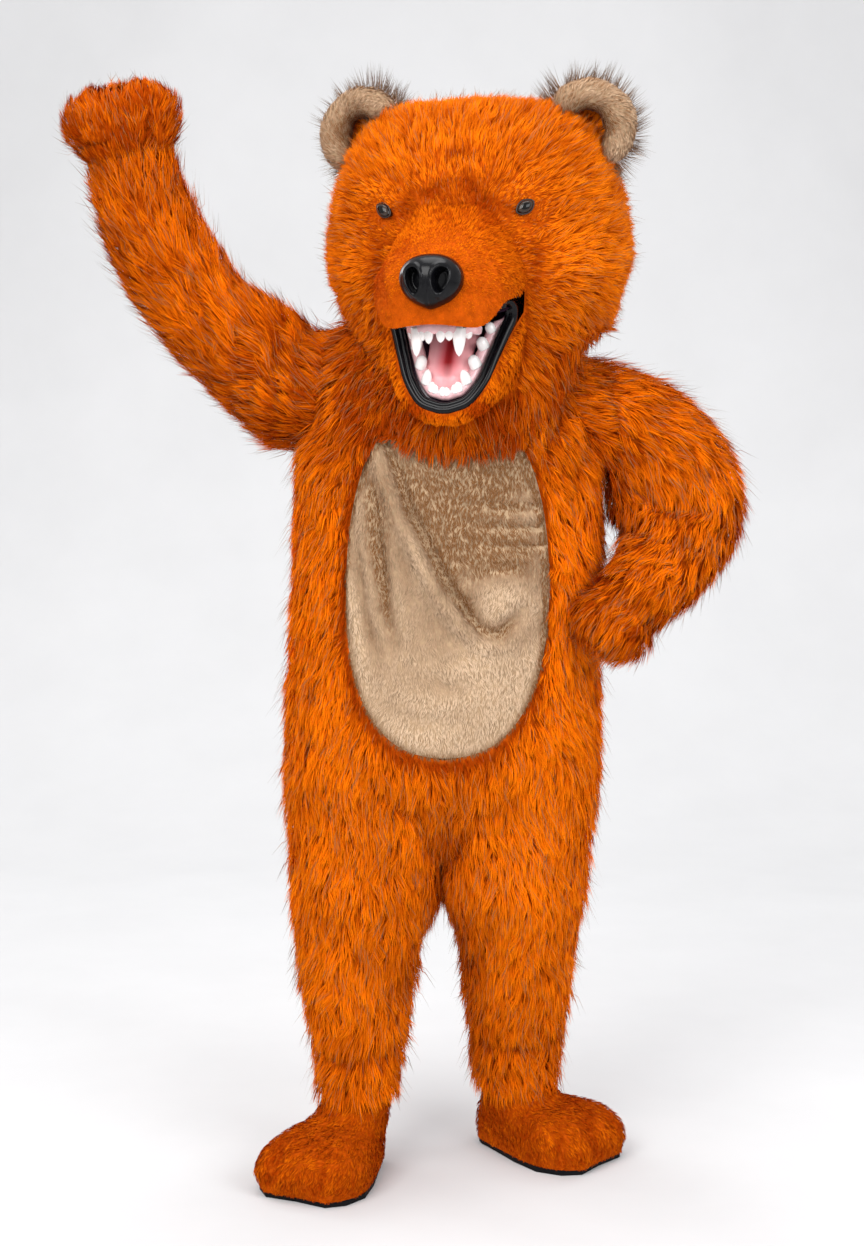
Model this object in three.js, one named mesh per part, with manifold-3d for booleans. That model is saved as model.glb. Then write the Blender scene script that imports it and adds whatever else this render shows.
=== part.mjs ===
// A worn bear costume: a one-piece suit of long-pile fur cloth with an oval belly patch,
// sleeves, mitts and foot covers, and a hollow bear head with a neck cape over the shoulders.
// Millimetres. +X is to the right as seen from in front, the front faces -Y, +Z is up.
// The origin is between the wearer's shoulders. Tables give heights h above the soles.
// "Left" and "right" are as seen from in front: the left sleeve is raised, the right hand
// rests on the hip. Cloth pieces share their seam points, then each draws back from its seams.
import * as THREE from 'three';
import { mergeVertices } from 'three/addons/utils/BufferGeometryUtils.js';
import Module from 'manifold-3d';

const SHOULDER_H = 1430; // from the soles to the origin
const CLOTH = 3; // backing and dense pile root of the fur cloth
const HEAD_WALL = 5; // fur cloth on its moulded shell
const SEAM = 0.3; // between pieces that are sewn or glued to each other
const LEFT = -1;
const RIGHT = 1;
const SIDES = [
  { side: LEFT, word: 'left' },
  { side: RIGHT, word: 'right' },
];

const FINISH = {
  fur: { color: 0xd2600c, roughness: 0.95, metalness: 0 },
  shortFur: { color: 0xdd6f17, roughness: 0.9, metalness: 0 },
  tan: { color: 0xb39a7d, roughness: 0.9, metalness: 0 },
  rubber: { color: 0x101012, roughness: 0.55, metalness: 0 },
  gloss: { color: 0x0b0b0d, roughness: 0.18, metalness: 0 },
  gum: { color: 0xd98a90, roughness: 0.3, metalness: 0 },
  tongue: { color: 0xe88f96, roughness: 0.35, metalness: 0 },
  dark: { color: 0x1d1016, roughness: 0.5, metalness: 0 },
  glass: { color: 0x4a2410, roughness: 0.06, metalness: 0 },
};

// ---------------------------------------------------------------- the suit's sizes

// Ankle to crotch, one table a leg: ring centre x, y and its reach to the side, front and back.
const LEG = {
  left: [
    { h: 150, x: -156, y: 4, side: 61, front: 64, back: 68 },
    { h: 200, x: -155, y: 4, side: 65, front: 68, back: 72 },
    { h: 270, x: -156, y: 4, side: 78, front: 78, back: 84 },
    { h: 350, x: -156, y: 5, side: 90, front: 92, back: 98 },
    { h: 430, x: -155, y: 8, side: 101, front: 106, back: 116 },
    { h: 480, x: -143, y: 11, side: 121, front: 120, back: 136 },
    { h: 515, x: -134, y: 14, side: 129, front: 130, back: 150 },
  ],
  right: [
    { h: 128, x: 133, y: 117, side: 65, front: 66, back: 70 },
    { h: 180, x: 133, y: 115, side: 71, front: 72, back: 76 },
    { h: 250, x: 133, y: 101, side: 78, front: 80, back: 86 },
    { h: 330, x: 132, y: 79, side: 87, front: 92, back: 100 },
    { h: 430, x: 131, y: 49, side: 95, front: 106, back: 116 },
    { h: 480, x: 127, y: 31, side: 115, front: 120, back: 136 },
    { h: 515, x: 119, y: 18, side: 124, front: 130, back: 150 },
  ],
};
const LEG_POWER = 2.15; // roundness of a leg's ring: 2 is an ellipse, more is squarer
const LEG_STEPS = 7;
const CROTCH_H = 515;
const HIP_H = 715; // above this the rings are the whole body's

// Crotch to neck: the centre seam's x, the ring's y, its reaches, its roundness, and how far
// each shoulder is lifted by its arm.
const BODY = [
  { h: 515, seam: -5, y: 14, left: 258, right: 248, front: 135, back: 152, power: 2.3, liftL: 0, liftR: 0 },
  { h: 600, seam: -5, y: 14, left: 267, right: 262, front: 148, back: 172, power: 2.4, liftL: 0, liftR: 0 },
  { h: 700, seam: -3, y: 12, left: 270, right: 265, front: 160, back: 178, power: 2.5, liftL: 0, liftR: 0 },
  { h: 800, seam: -1, y: 8, left: 268, right: 262, front: 167, back: 174, power: 2.5, liftL: 0, liftR: 0 },
  { h: 900, seam: 1, y: 4, left: 264, right: 256, front: 168, back: 168, power: 2.5, liftL: 0, liftR: 0 },
  { h: 1000, seam: 3, y: 2, left: 259, right: 256, front: 166, back: 164, power: 2.5, liftL: 0, liftR: 0 },
  { h: 1100, seam: 4, y: 0, left: 255, right: 259, front: 164, back: 166, power: 2.5, liftL: 0, liftR: 0 },
  { h: 1200, seam: 4, y: 0, left: 254, right: 258, front: 161, back: 170, power: 2.5, liftL: 0, liftR: 0 },
  { h: 1280, seam: 4, y: 0, left: 252, right: 255, front: 157, back: 170, power: 2.4, liftL: 4, liftR: 0 },
  { h: 1345, seam: 3, y: 2, left: 244, right: 248, front: 150, back: 166, power: 2.3, liftL: 18, liftR: 4 },
  { h: 1400, seam: 2, y: 5, left: 224, right: 232, front: 138, back: 154, power: 2.2, liftL: 34, liftR: 8 },
  { h: 1438, seam: 1, y: 8, left: 194, right: 204, front: 123, back: 138, power: 2.1, liftL: 42, liftR: 11 },
  { h: 1460, seam: 0, y: 10, left: 158, right: 164, front: 110, back: 122, power: 2, liftL: 38, liftR: 11 },
  { h: 1478, seam: 0, y: 12, left: 120, right: 124, front: 98, back: 104, power: 2, liftL: 20, liftR: 6 },
];
const BLEND_H = [548, 594, 655, HIP_H]; // rings between the legs and the body
const YOKE_H = [1412, 1438, 1456, 1467, 1478]; // rings above the belly patch, up to the neck
const ARMPIT_ROW = 9; // of the patch's rows, where the side seam ends
const SHOULDER_H_ROW = 2; // of the yoke's rows, where the shoulder seam starts
const ARMHOLE_CUT = 0.37; // how far the armhole cuts into a panel, as a share of its width
const FRONT_COLUMNS = 6;
const BACK_COLUMNS = 5;

const PATCH = { h: 1050, below: 284, above: 332, half: 174, power: 2.4, rows: 12, columns: 14 };

// Soft folds of the belly patch, which hangs from its upper left: a ridge from one point to
// another (x, h), its height, how far it reaches to its steep right side and its slack left side.
// They flatten out towards the neck cape, which lies over the patch's top.
const PATCH_FOLD_TOP = { full: 1215, none: 1296 };
const PATCH_FOLDS = [
  { x1: -88, h1: 1330, x2: 60, h2: 985, rise: 21, steep: 16, slack: 62 },
  { x1: -128, h1: 1235, x2: -62, h2: 1010, rise: 8, steep: 22, slack: 26 },
  { x1: -52, h1: 905, x2: 80, h2: 860, rise: 7, steep: 34, slack: 40 },
  { x1: 150, h1: 1190, x2: 96, h2: 960, rise: 6, steep: 30, slack: 28 },
  { x1: 10, h1: 1260, x2: 120, h2: 1215, rise: 5, steep: 16, slack: 20 },
];

// Sleeve rings from the armhole to the wrist: the centre, and the reach to the underarm side,
// to the other side and to the front and back.
const SLEEVE = {
  left: [
    { x: -254, y: 2, h: 1400, under: 112, over: 110, deep: 90 },
    { x: -287, y: 0, h: 1424, under: 102, over: 101, deep: 87 },
    { x: -325, y: -2, h: 1453, under: 92, over: 90, deep: 82 },
    { x: -370, y: -5, h: 1487, under: 87, over: 82, deep: 78 },
    { x: -419, y: -9, h: 1533, under: 81, over: 77, deep: 73 },
    { x: -458, y: -14, h: 1585, under: 78, over: 75, deep: 70 },
    { x: -488, y: -20, h: 1640, under: 77, over: 73, deep: 67 },
    { x: -510, y: -27, h: 1690, under: 74, over: 70, deep: 64 },
    { x: -527, y: -34, h: 1736, under: 68, over: 66, deep: 61 },
    { x: -538, y: -40, h: 1774, under: 62, over: 65, deep: 58 },
  ],
  right: [
    { x: 258, y: 2, h: 1366, under: 110, over: 110, deep: 94 },
    { x: 300, y: 2, h: 1346, under: 104, over: 111, deep: 92 },
    { x: 342, y: 1, h: 1316, under: 104, over: 106, deep: 90 },
    { x: 382, y: -2, h: 1276, under: 112, over: 104, deep: 88 },
    { x: 410, y: -9, h: 1226, under: 122, over: 106, deep: 84 },
    { x: 416, y: -22, h: 1176, under: 116, over: 101, deep: 79 },
    { x: 404, y: -45, h: 1132, under: 98, over: 80, deep: 74 },
    { x: 378, y: -74, h: 1094, under: 76, over: 70, deep: 67 },
    { x: 349, y: -101, h: 1064, under: 63, over: 60, deep: 60 },
    { x: 320, y: -124, h: 1040, under: 57, over: 56, deep: 55 },
  ],
};
const SLEEVE_MELT = 3; // rings over which the armhole's outline turns into the sleeve's

// Folds across the sleeves: the ring they lie at, how many rings they cover, the angle round
// the sleeve from the underarm by way of the front, the angle they cover, and their depth.
const SLEEVE_FOLDS = {
  left: [
    { ring: 1, rings: 0.5, around: 100, span: 75, depth: 9 },
    { ring: 2.6, rings: 0.6, around: 60, span: 60, depth: 8 },
    { ring: 4, rings: 0.6, around: 190, span: 60, depth: 9 },
  ],
  right: [
    { ring: 1.6, rings: 0.6, around: 120, span: 70, depth: 9 },
    { ring: 3.4, rings: 0.6, around: 140, span: 60, depth: 8 },
    { ring: 5, rings: 0.7, around: 70, span: 60, depth: 10 },
  ],
};

// A mitt from its cuff to its fingertips along its own axis: half width and half thickness.
const PAW = [
  { along: -16, wide: 0, thick: 0 },
  { along: 24, wide: 60, thick: 50 },
  { along: 40, wide: 78, thick: 55 },
  { along: 72, wide: 94, thick: 59 },
  { along: 104, wide: 96, thick: 56 },
  { along: 128, wide: 84, thick: 45 },
  { along: 142, wide: 64, thick: 26 },
  { along: 147, wide: 48, thick: 0 },
];
const PAW_COLUMNS = 8;
const PAW_POWER = 2.5;
// How a mitt is turned and how large it looks there, and its cuff's slack inside the sleeve.
const PAW_POSE = {
  left: { axis: [-0.17, -0.2, 1], wideward: [-1, 0.1, -0.13], long: 0.88, broad: 0.98, slack: 3.0 },
  right: { axis: [-0.7, -0.22, -0.78], wideward: [0.68, -0.46, -0.5], long: 0.64, broad: 0.68, slack: 4.3 },
};
const FINGERS = { count: 4, groove: 6, start: 60 };
const COLLAR_GAP = 0.6; // between a leg's inside and the foot cover's collar

// A foot: reaches of the sole from its middle, and its half widths at heel and toes. It is
// turned outward and set some way ahead of the ankle.
const FOOT = { toe: 222, heel: 54, toeHalf: 115, heelHalf: 47, power: 3.3, columns: 18 };
const FOOT_POSE = {
  left: { x: -161, y: 4, turn: 27, ahead: 8, top: 186 },
  right: { x: 130, y: 117, turn: 51, ahead: -12, top: 164 },
};
// The foot cover from its collar to the sole: out is the share of the way from the collar's
// ring to the sole's edge, and height the share of the toes' or the collar's height.
const FOOT_ROWS = [
  { out: 0, collar: 1, toe: 0 },
  { out: 0, collar: 0.72, toe: 0 },
  { out: 0.18, collar: 0.32, toe: 0.6 },
  { out: 0.58, collar: 0.06, toe: 0.98 },
  { out: 0.94, collar: 0, toe: 0.82 },
  { out: 1.09, collar: 0, toe: 0.42 },
  { out: 1, collar: 0, toe: 0 },
];
const TOE_RISE = 88;
const TOES = { count: 4, spread: 62, bulge: 0.06, groove: 7 };
const SOLE = { thick: 10, inset: 5, chamfer: 2 };

// ---------------------------------------------------------------- the head's sizes

const HEAD_AT = { x: 60, y: -8, turn: -14 };
// Rings of the head in its own frame, facing -y: half width, front and back reach, roundness,
// and the half width of the opening that the muzzle, mouth and chin fill, or of the gusset.
const HEAD = [
  { h: 1468, y: 0, half: 216, front: 178, back: 188, power: 2.3, face: 96 },
  { h: 1500, y: 0, half: 226, front: 184, back: 193, power: 2.3, face: 110 },
  { h: 1530, y: 0, half: 232, front: 189, back: 199, power: 2.35, face: 113 },
  { h: 1562, y: 0, half: 239, front: 195, back: 203, power: 2.4, face: 117 },
  { h: 1602, y: 0, half: 249, front: 203, back: 212, power: 2.4, face: 112 },
  { h: 1652, y: 0, half: 248, front: 209, back: 219, power: 2.4, face: 90 },
  { h: 1692, y: 0, half: 244, front: 212, back: 221, power: 2.4, face: 52 },
  { h: 1736, y: 1, half: 234, front: 211, back: 218, power: 2.4, face: 62 },
  { h: 1784, y: 2, half: 220, front: 196, back: 206, power: 2.35, face: 74 },
  { h: 1828, y: 4, half: 198, front: 168, back: 182, power: 2.3, face: 84 },
  { h: 1862, y: 6, half: 164, front: 128, back: 146, power: 2.25, face: 86 },
];
// How much the lowest ring rises or falls at its front, sides and back, and where that fades.
const NECKLINE = {
  front: { rise: -108, fades: 1562 },
  side: { rise: 52, fades: 1700 },
  back: { rise: 4, fades: 1700 },
};
const NECKLINE_FADE = 1.5;
const MOUTH_ROW = 2; // the ring at the corners of the mouth
const BROW_ROW = 6; // the ring where the muzzle meets the gusset
const CROWN_RISE = 22;
const SIDE_COLUMNS = 9;
const GUSSET_COLUMNS = 4;
// Soft forms of the face: centre, reach, and height, mirrored in x.
const FACE_FORMS = [
  { x: 92, h: 1722, wide: 50, tall: 20, out: 12 },
  { x: 122, h: 1690, wide: 24, tall: 15, out: -9 },
  { x: 0, h: 1706, wide: 26, tall: 24, out: -6 },
  { x: 196, h: 1570, wide: 70, tall: 50, out: 8 },
];
// The muzzle from its root forward: local y, half width, and the heights of its top and lip.
const MUZZLE = [
  { y: -236, half: 119, top: 1671, lip: 1506 },
  { y: -272, half: 115, top: 1644, lip: 1496 },
  { y: -306, half: 103, top: 1622, lip: 1490 },
  { y: -332, half: 80, top: 1602, lip: 1488 },
  { y: -349, half: 46, top: 1578, lip: 1492 },
];
const MUZZLE_TIP = { y: -354, h: 1497 };
const MUZZLE_POWER = 2.3;
// Half of the lower lip's line, from the corner of the mouth to the chin, and the share of
// the chin's rim there.
const LIP_LINE = [
  { x: 113, y: -188, h: 1520, rim: 0 },
  { x: 99, y: -214, h: 1484, rim: 0.5 },
  { x: 86, y: -234, h: 1446, rim: 0.9 },
  { x: 71, y: -250, h: 1404, rim: 1 },
  { x: 46, y: -262, h: 1369, rim: 1 },
  { x: 16, y: -266, h: 1356, rim: 1 },
];
const CHIN_WALL = 4;
const CHIN_RIM = { out: 15, forward: 1, fall: 12, depth: 24 };
// The neck cape's hem in heights of the body's rings, from the front centre round to the back.
const MANE_HEM = [
  { around: 0, h: 1294 },
  { around: 0.25, h: 1312 },
  { around: 0.5, h: 1362 },
  { around: 0.75, h: 1436 },
  { around: 1, h: 1460 },
  { around: 1.25, h: 1442 },
  { around: 1.6, h: 1362 },
  { around: 2, h: 1316 },
];
const CAPE_INSET = 0.55; // its gap where it is sewn to the head's lowest edge
const MANE_LIFT = 6; // of the cape's outside over the suit, at the hem
const MANE_ROWS = [0.34, 0.68, 1];
const MANE_BULGE = 0.06; // as a share of its length

const NOSE = { y: -346, h: 1565, half: 49, tall: 42, deep: 42, power: 2.5 };
const NOSTRIL = { x: 21, y: -378, h: 1562, half: 11, tall: 17, deep: 22 };
const EYE = { x: 120, h: 1691, radius: 15, forward: -3 };

// The mouth, in steps inward from the lower lip's line and forward of it.
const LIP_BAND = { from: -0.1, to: -23, front: 5, behind: -10 };
const GUM = { from: -25, to: -43, front: -8, behind: -22 };
const LOWER_TEETH = { count: 14, half: 9, high: 13, start: 0.16 };
// The mouth's lining: where it starts behind the lower lip and above the upper lip, and its throat.
const LINING = { wall: 3, rows: 4, below: { inward: -8, back: 17 }, above: { inward: 17, back: 26, up: 24 } };
const THROAT = { y: -100, h: 1548, half: 62, tall: 34 };
const TONGUE = { half: 37, thick: 12, tipY: -236, tipH: 1392, rootY: -150, rootH: 1502, steps: 7, sides: 10 };
const UPPER_GUM = { half: 62, y: -246, front: -318, h: 1494, tall: 16, wide: 14, sides: 12 };
const UPPER_TEETH = [
  { at: 0.2, half: 6, drop: 12 },
  { at: 0.313, half: 10, drop: 38 },
  { at: 0.41, half: 6.5, drop: 15 },
  { at: 0.478, half: 6.5, drop: 16 },
  { at: 0.522, half: 6.5, drop: 16 },
  { at: 0.59, half: 6.5, drop: 15 },
  { at: 0.687, half: 10, drop: 38 },
  { at: 0.8, half: 6, drop: 12 },
];

// An ear: where it stands on the head, how it leans, its size, and the reach of its rolled rim
// in degrees round the ear from its inner end.
const EAR = {
  x: 198, y: -46, h: 1836, lean: 38, swing: 16, radius: 57, rim: 18, from: -22, to: 228, cup: 20,
};
const EAR_STEPS = 12;
const RIM_SIDES = 8;

const wasm = await Module();
wasm.setup();

// ---------------------------------------------------------------- small helpers

const vec = (x, y, z) => new THREE.Vector3(x, y, z);
const lerp = THREE.MathUtils.lerp;
const rad = THREE.MathUtils.degToRad;
const at = (x, y, h) => vec(x, y, h - SHOULDER_H);
const ease = (t) => THREE.MathUtils.smoothstep(t, 0, 1);
const bump = (t) => Math.exp(-t * t);
const steps = (n) => Array.from({ length: n + 1 }, (_, i) => i / n);
const powered = (value, power) => Math.sign(value) * Math.abs(value) ** (2 / power);

// The value of a table's column where its key column has the given value, on a smooth curve
// that never passes its own rows.
function column(table, key, name, value) {
  let i = 0;
  while (i < table.length - 2 && table[i + 1][key] < value) i++;
  const slope = (a) =>
    a < 0 || a > table.length - 2
      ? 0
      : (table[a + 1][name] - table[a][name]) / (table[a + 1][key] - table[a][key]);
  const tangent = (before, after) =>
    before * after > 0 ? (2 * before * after) / (before + after) : 0;
  const from = i === 0 ? slope(0) : tangent(slope(i - 1), slope(i));
  const to = i === table.length - 2 ? slope(i) : tangent(slope(i), slope(i + 1));
  const width = table[i + 1][key] - table[i][key];
  const t = THREE.MathUtils.clamp((value - table[i][key]) / width, 0, 1);
  const t2 = t * t;
  const t3 = t2 * t;
  return (
    table[i][name] * (2 * t3 - 3 * t2 + 1) +
    table[i + 1][name] * (3 * t2 - 2 * t3) +
    width * (from * (t3 - 2 * t2 + t) + to * (t3 - t2))
  );
}

const rowAt = (table, key, value) =>
  Object.fromEntries(Object.keys(table[0]).map((name) => [name, column(table, key, name, value)]));

// ---------------------------------------------------------------- cloth

// Every panel: its name, finish and grid of shared points, its wall, how far it draws back from
// its seams, and whether its rows close on themselves.
const cloth = [];

function panel(name, finish, rows, { wall = CLOTH, inset = SEAM / 2, closed = false } = {}) {
  cloth.push({ name, finish, rows, wall, inset, closed });
}

const spot = (p) => p.toArray().map((v) => Math.round(v * 100) || 0).join();

// The panel's points and triangles, with points that fall together made one.
function weld({ rows, closed }) {
  const points = [];
  const places = new Map();
  const index = rows.map((row) =>
    row.map((p) => {
      if (!places.has(spot(p))) places.set(spot(p), points.push(p) - 1);
      return places.get(spot(p));
    })
  );
  const faces = [];
  const add = (a, b, c) => a !== b && b !== c && c !== a && faces.push([a, b, c]);
  const columns = rows[0].length - (closed ? 0 : 1);
  for (let i = 0; i < rows.length - 1; i++) {
    for (let j = 0; j < columns; j++) {
      const k = (j + 1) % rows[0].length;
      const [a, b, c, d] = [index[i][j], index[i][k], index[i + 1][k], index[i + 1][j]];
      if (points[a].distanceTo(points[c]) <= points[b].distanceTo(points[d])) {
        add(a, b, c);
        add(a, c, d);
      } else {
        add(a, b, d);
        add(b, c, d);
      }
    }
  }
  return { points, faces };
}

function faceNormal(points, [a, b, c]) {
  const ab = points[b].clone().sub(points[a]);
  return ab.cross(points[c].clone().sub(points[a]));
}

// Sews all the panels: at a seam they share one normal, so their walls meet in one plane.
function sewn(panels) {
  const normals = new Map();
  const welded = panels.map((p) => ({ ...p, ...weld(p) }));
  for (const { points, faces } of welded) {
    for (const face of faces) {
      const n = faceNormal(points, face).normalize();
      for (const v of face) {
        const key = spot(points[v]);
        normals.set(key, (normals.get(key) ?? vec(0, 0, 0)).add(n));
      }
    }
  }
  return welded.map((m) => ({
    ...m,
    edges: cutEdges(m.faces),
    normals: m.points.map((p) => normals.get(spot(p)).clone().normalize()),
  }));
}

// The cut edges of a panel, each with the third corner of its triangle.
function cutEdges(faces) {
  const edges = new Map();
  for (const face of faces) {
    for (let i = 0; i < 3; i++) {
      const [a, b] = [face[i], face[(i + 1) % 3]];
      if (!edges.delete(`${b},${a}`)) edges.set(`${a},${b}`, { a, b, c: face[(i + 2) % 3] });
    }
  }
  return edges;
}

// A panel's closed wall: the outside, the inside, and the cut edges drawn back from the seams.
function walled({ name, finish, wall, inset, points, faces, edges, normals }) {
  const inward = points.map(() => []);
  for (const { a, b, c } of edges.values()) {
    const along = points[b].clone().sub(points[a]).normalize();
    const d = points[c].clone().sub(points[a]);
    d.addScaledVector(along, -d.dot(along)).normalize();
    inward[a].push(d);
    inward[b].push(d);
  }
  const outside = points.map((p, i) => {
    const [d, e] = inward[i];
    if (!d) return p.clone();
    const share = inset / Math.max(1 + (e ? d.dot(e) : 1), 0.3);
    return p.clone().addScaledVector(d, share).addScaledVector(e ?? d, share);
  });
  const inside = outside.map((p, i) => p.clone().addScaledVector(normals[i], -wall));
  return solid(name, finish, closedWall({ points, outside, inside, faces, edges }));
}

// The surface round a wall's outside, its inside and its cut edges. Two panels halve the faces
// of a shared edge along the same diagonal.
function closedWall({ points, outside, inside, faces, edges }) {
  const n = outside.length;
  const triangles = faces.flatMap(([a, b, c]) => [a, b, c, a + n, c + n, b + n]);
  for (const { a, b } of edges.values()) {
    if (spot(points[a]) < spot(points[b])) triangles.push(b, a, a + n, b, a + n, b + n);
    else triangles.push(b, a, b + n, a, a + n, b + n);
  }
  return geometryOf([...outside, ...inside], triangles);
}

function geometryOf(points, triangles) {
  const geometry = new THREE.BufferGeometry();
  geometry.setAttribute(
    'position',
    new THREE.Float32BufferAttribute(points.flatMap((p) => [p.x, p.y, p.z]), 3)
  );
  geometry.setIndex(triangles);
  return geometry;
}

function solid(name, finish, geometry) {
  const mesh = new THREE.Mesh(geometry, new THREE.MeshStandardMaterial(FINISH[finish]));
  mesh.name = name;
  return mesh;
}

// ---------------------------------------------------------------- the suit's form

// Half of a leg's ring: u runs from the inseam (0) to the outside seam (1).
function legPoint(word, face, h, u) {
  const side = word === 'left' ? LEFT : RIGHT;
  const ring = rowAt(LEG[word], 'h', Math.min(h, CROTCH_H));
  const turn = Math.PI * u;
  const reach = face === 'front' ? -ring.front : ring.back;
  return at(
    ring.x - side * ring.side * powered(Math.cos(turn), LEG_POWER),
    ring.y + reach * powered(Math.sin(turn), LEG_POWER),
    h
  );
}

// A quarter of the body's ring: u runs from the centre seam (0) to the side seam (1).
function bodyPoint(word, face, h, u) {
  const side = word === 'left' ? LEFT : RIGHT;
  const ring = rowAt(BODY, 'h', h);
  const share = powered(Math.sin((Math.PI / 2) * u), ring.power);
  const reach = face === 'front' ? -ring.front : ring.back;
  return at(
    ring.seam + side * ring[word] * share,
    ring.y + reach * powered(Math.cos((Math.PI / 2) * u), ring.power),
    h + (side === LEFT ? ring.liftL : ring.liftR) * share * share
  );
}

function suitPoint(word, face, h, u) {
  if (h <= CROTCH_H) return legPoint(word, face, h, u);
  if (h >= HIP_H) return bodyPoint(word, face, h, u);
  const share = ease((h - CROTCH_H) / (HIP_H - CROTCH_H));
  return legPoint(word, face, h, u).lerp(bodyPoint(word, face, h, u), share);
}

const patchHeights = steps(PATCH.rows).map((t) => {
  const rise = -Math.cos(Math.PI * t);
  return PATCH.h + rise * (rise < 0 ? PATCH.below : PATCH.above);
});
const ARMPIT_H = patchHeights[ARMPIT_ROW];
const SHOULDER_TOP_H = YOKE_H[SHOULDER_H_ROW];

function patchHalf(h) {
  const rise = (h - PATCH.h) / (h < PATCH.h ? PATCH.below : PATCH.above);
  return PATCH.half * Math.max(1 - Math.abs(rise) ** PATCH.power, 0) ** (1 / PATCH.power);
}

// Where the belly patch's edge cuts a ring of the body, as a share of the front panel's width.
function patchEdge(word, h) {
  const ring = rowAt(BODY, 'h', h);
  const share = Math.min(patchHalf(h) / ring[word], 1);
  return Math.asin(share ** (ring.power / 2)) / (Math.PI / 2);
}

// Where the armhole cuts a ring of the body.
function armholeEdge(h) {
  if (h < ARMPIT_H || h > SHOULDER_TOP_H) return 1;
  return 1 - ARMHOLE_CUT * Math.sin((Math.PI * (h - ARMPIT_H)) / (SHOULDER_TOP_H - ARMPIT_H)) ** 0.8;
}

const legHeights = (word) =>
  steps(LEG_STEPS).map((t) => lerp(LEG[word][0].h, CROTCH_H, t));
const suitHeights = (word) => [...legHeights(word), ...BLEND_H, ...patchHeights, ...YOKE_H];

function suitPanel(word, face) {
  const side = word === 'left' ? LEFT : RIGHT;
  const columns = face === 'front' ? FRONT_COLUMNS : BACK_COLUMNS;
  const rows = suitHeights(word).map((h) => {
    const from = face === 'front' && patchHalf(h) > 0 ? patchEdge(word, h) : 0;
    return steps(columns).map((t) => suitPoint(word, face, h, lerp(from, armholeEdge(h), t)));
  });
  if ((side === LEFT) === (face === 'front')) rows.forEach((row) => row.reverse());
  panel(`${face}_${word}`, 'fur', rows);
}

// The height of the patch's folds above the body, none at its edge.
function foldRise(x, h) {
  const rise = (h - PATCH.h) / (h < PATCH.h ? PATCH.below : PATCH.above);
  const out = Math.abs((x - 4) / PATCH.half) ** PATCH.power + Math.abs(rise) ** PATCH.power;
  const under = ease((PATCH_FOLD_TOP.none - h) / (PATCH_FOLD_TOP.none - PATCH_FOLD_TOP.full));
  const fade = under * (1 - ease((out - 0.5) / 0.45));
  let height = 0;
  for (const fold of PATCH_FOLDS) {
    const [dx, dh] = [fold.x2 - fold.x1, fold.h2 - fold.h1];
    const length = Math.hypot(dx, dh);
    const along = ((x - fold.x1) * dx + (h - fold.h1) * dh) / length / length;
    const across = ((x - fold.x1) * dh - (h - fold.h1) * dx) / length;
    const ends = ease((along + 0.12) / 0.3) * ease((1.12 - along) / 0.3);
    height += fold.rise * ends * bump(across / (across > 0 ? fold.slack : fold.steep));
  }
  return height * fade;
}

function bellyPatch() {
  const rows = patchHeights.map((h) => {
    const left = -patchEdge('left', h);
    const right = patchEdge('right', h);
    return steps(PATCH.columns).map((t) => {
      const u = lerp(left, right, t);
      const p = suitPoint(u < 0 ? 'left' : 'right', 'front', h, Math.abs(u));
      if (t > 0 && t < 1) p.y -= foldRise(p.x, p.z + SHOULDER_H);
      return p;
    });
  });
  panel('belly_patch', 'tan', rows);
}

// ---------------------------------------------------------------- sleeves and mitts

// The armhole's points, from the armpit over the front to the shoulder and down the back.
function armhole(word) {
  const heights = [...patchHeights.slice(ARMPIT_ROW), ...YOKE_H.slice(0, SHOULDER_H_ROW + 1)];
  const front = heights.map((h) => suitPoint(word, 'front', h, armholeEdge(h)));
  const back = heights.slice(1, -1).map((h) => suitPoint(word, 'back', h, armholeEdge(h)));
  return [...front, ...back.reverse()];
}

function sleeveFrames(word) {
  const side = word === 'left' ? LEFT : RIGHT;
  const table = SLEEVE[word];
  return table.map((ring, i) => {
    const before = table[Math.max(i - 1, 0)];
    const after = table[Math.min(i + 1, table.length - 1)];
    const along = vec(after.x - before.x, after.y - before.y, after.h - before.h).normalize();
    const front = vec(0, -1, 0).addScaledVector(along, along.y).normalize();
    const under = front.clone().cross(along).multiplyScalar(-side);
    return { ...ring, reach: ring.under, centre: at(ring.x, ring.y, ring.h), along, front, under };
  });
}

function sleeveRing(frame, n, folds, i) {
  return steps(n).slice(0, n).map((t) => {
    const turn = 2 * Math.PI * t;
    let pull = 0;
    for (const f of folds) {
      const apart = THREE.MathUtils.euclideanModulo(360 * t - f.around + 180, 360) - 180;
      pull += f.depth * bump((i - f.ring) / f.rings) * bump(apart / f.span);
    }
    const under = Math.cos(turn) * (Math.cos(turn) > 0 ? frame.reach : frame.over);
    const offset = frame.under.clone().multiplyScalar(under);
    offset.addScaledVector(frame.front, Math.sin(turn) * frame.deep);
    offset.setLength(offset.length() - pull);
    return offset.add(frame.centre);
  });
}

function sleeve(word) {
  const hole = armhole(word);
  const middle = hole.reduce((sum, p) => sum.add(p), vec(0, 0, 0)).divideScalar(hole.length);
  const frames = sleeveFrames(word);
  const rings = frames.map((frame, i) => {
    const ring = sleeveRing(frame, hole.length, SLEEVE_FOLDS[word], i);
    const share = ease((i + 1) / (SLEEVE_MELT + 1));
    return ring.map((p, k) =>
      hole[k].clone().sub(middle).add(frame.centre).lerp(p, share)
    );
  });
  const rows = [hole, ...rings];
  if (word === 'right') rows.forEach((row) => row.reverse());
  panel(`sleeve_${word}`, 'fur', rows, { closed: true });
  return frames.at(-1);
}

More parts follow.
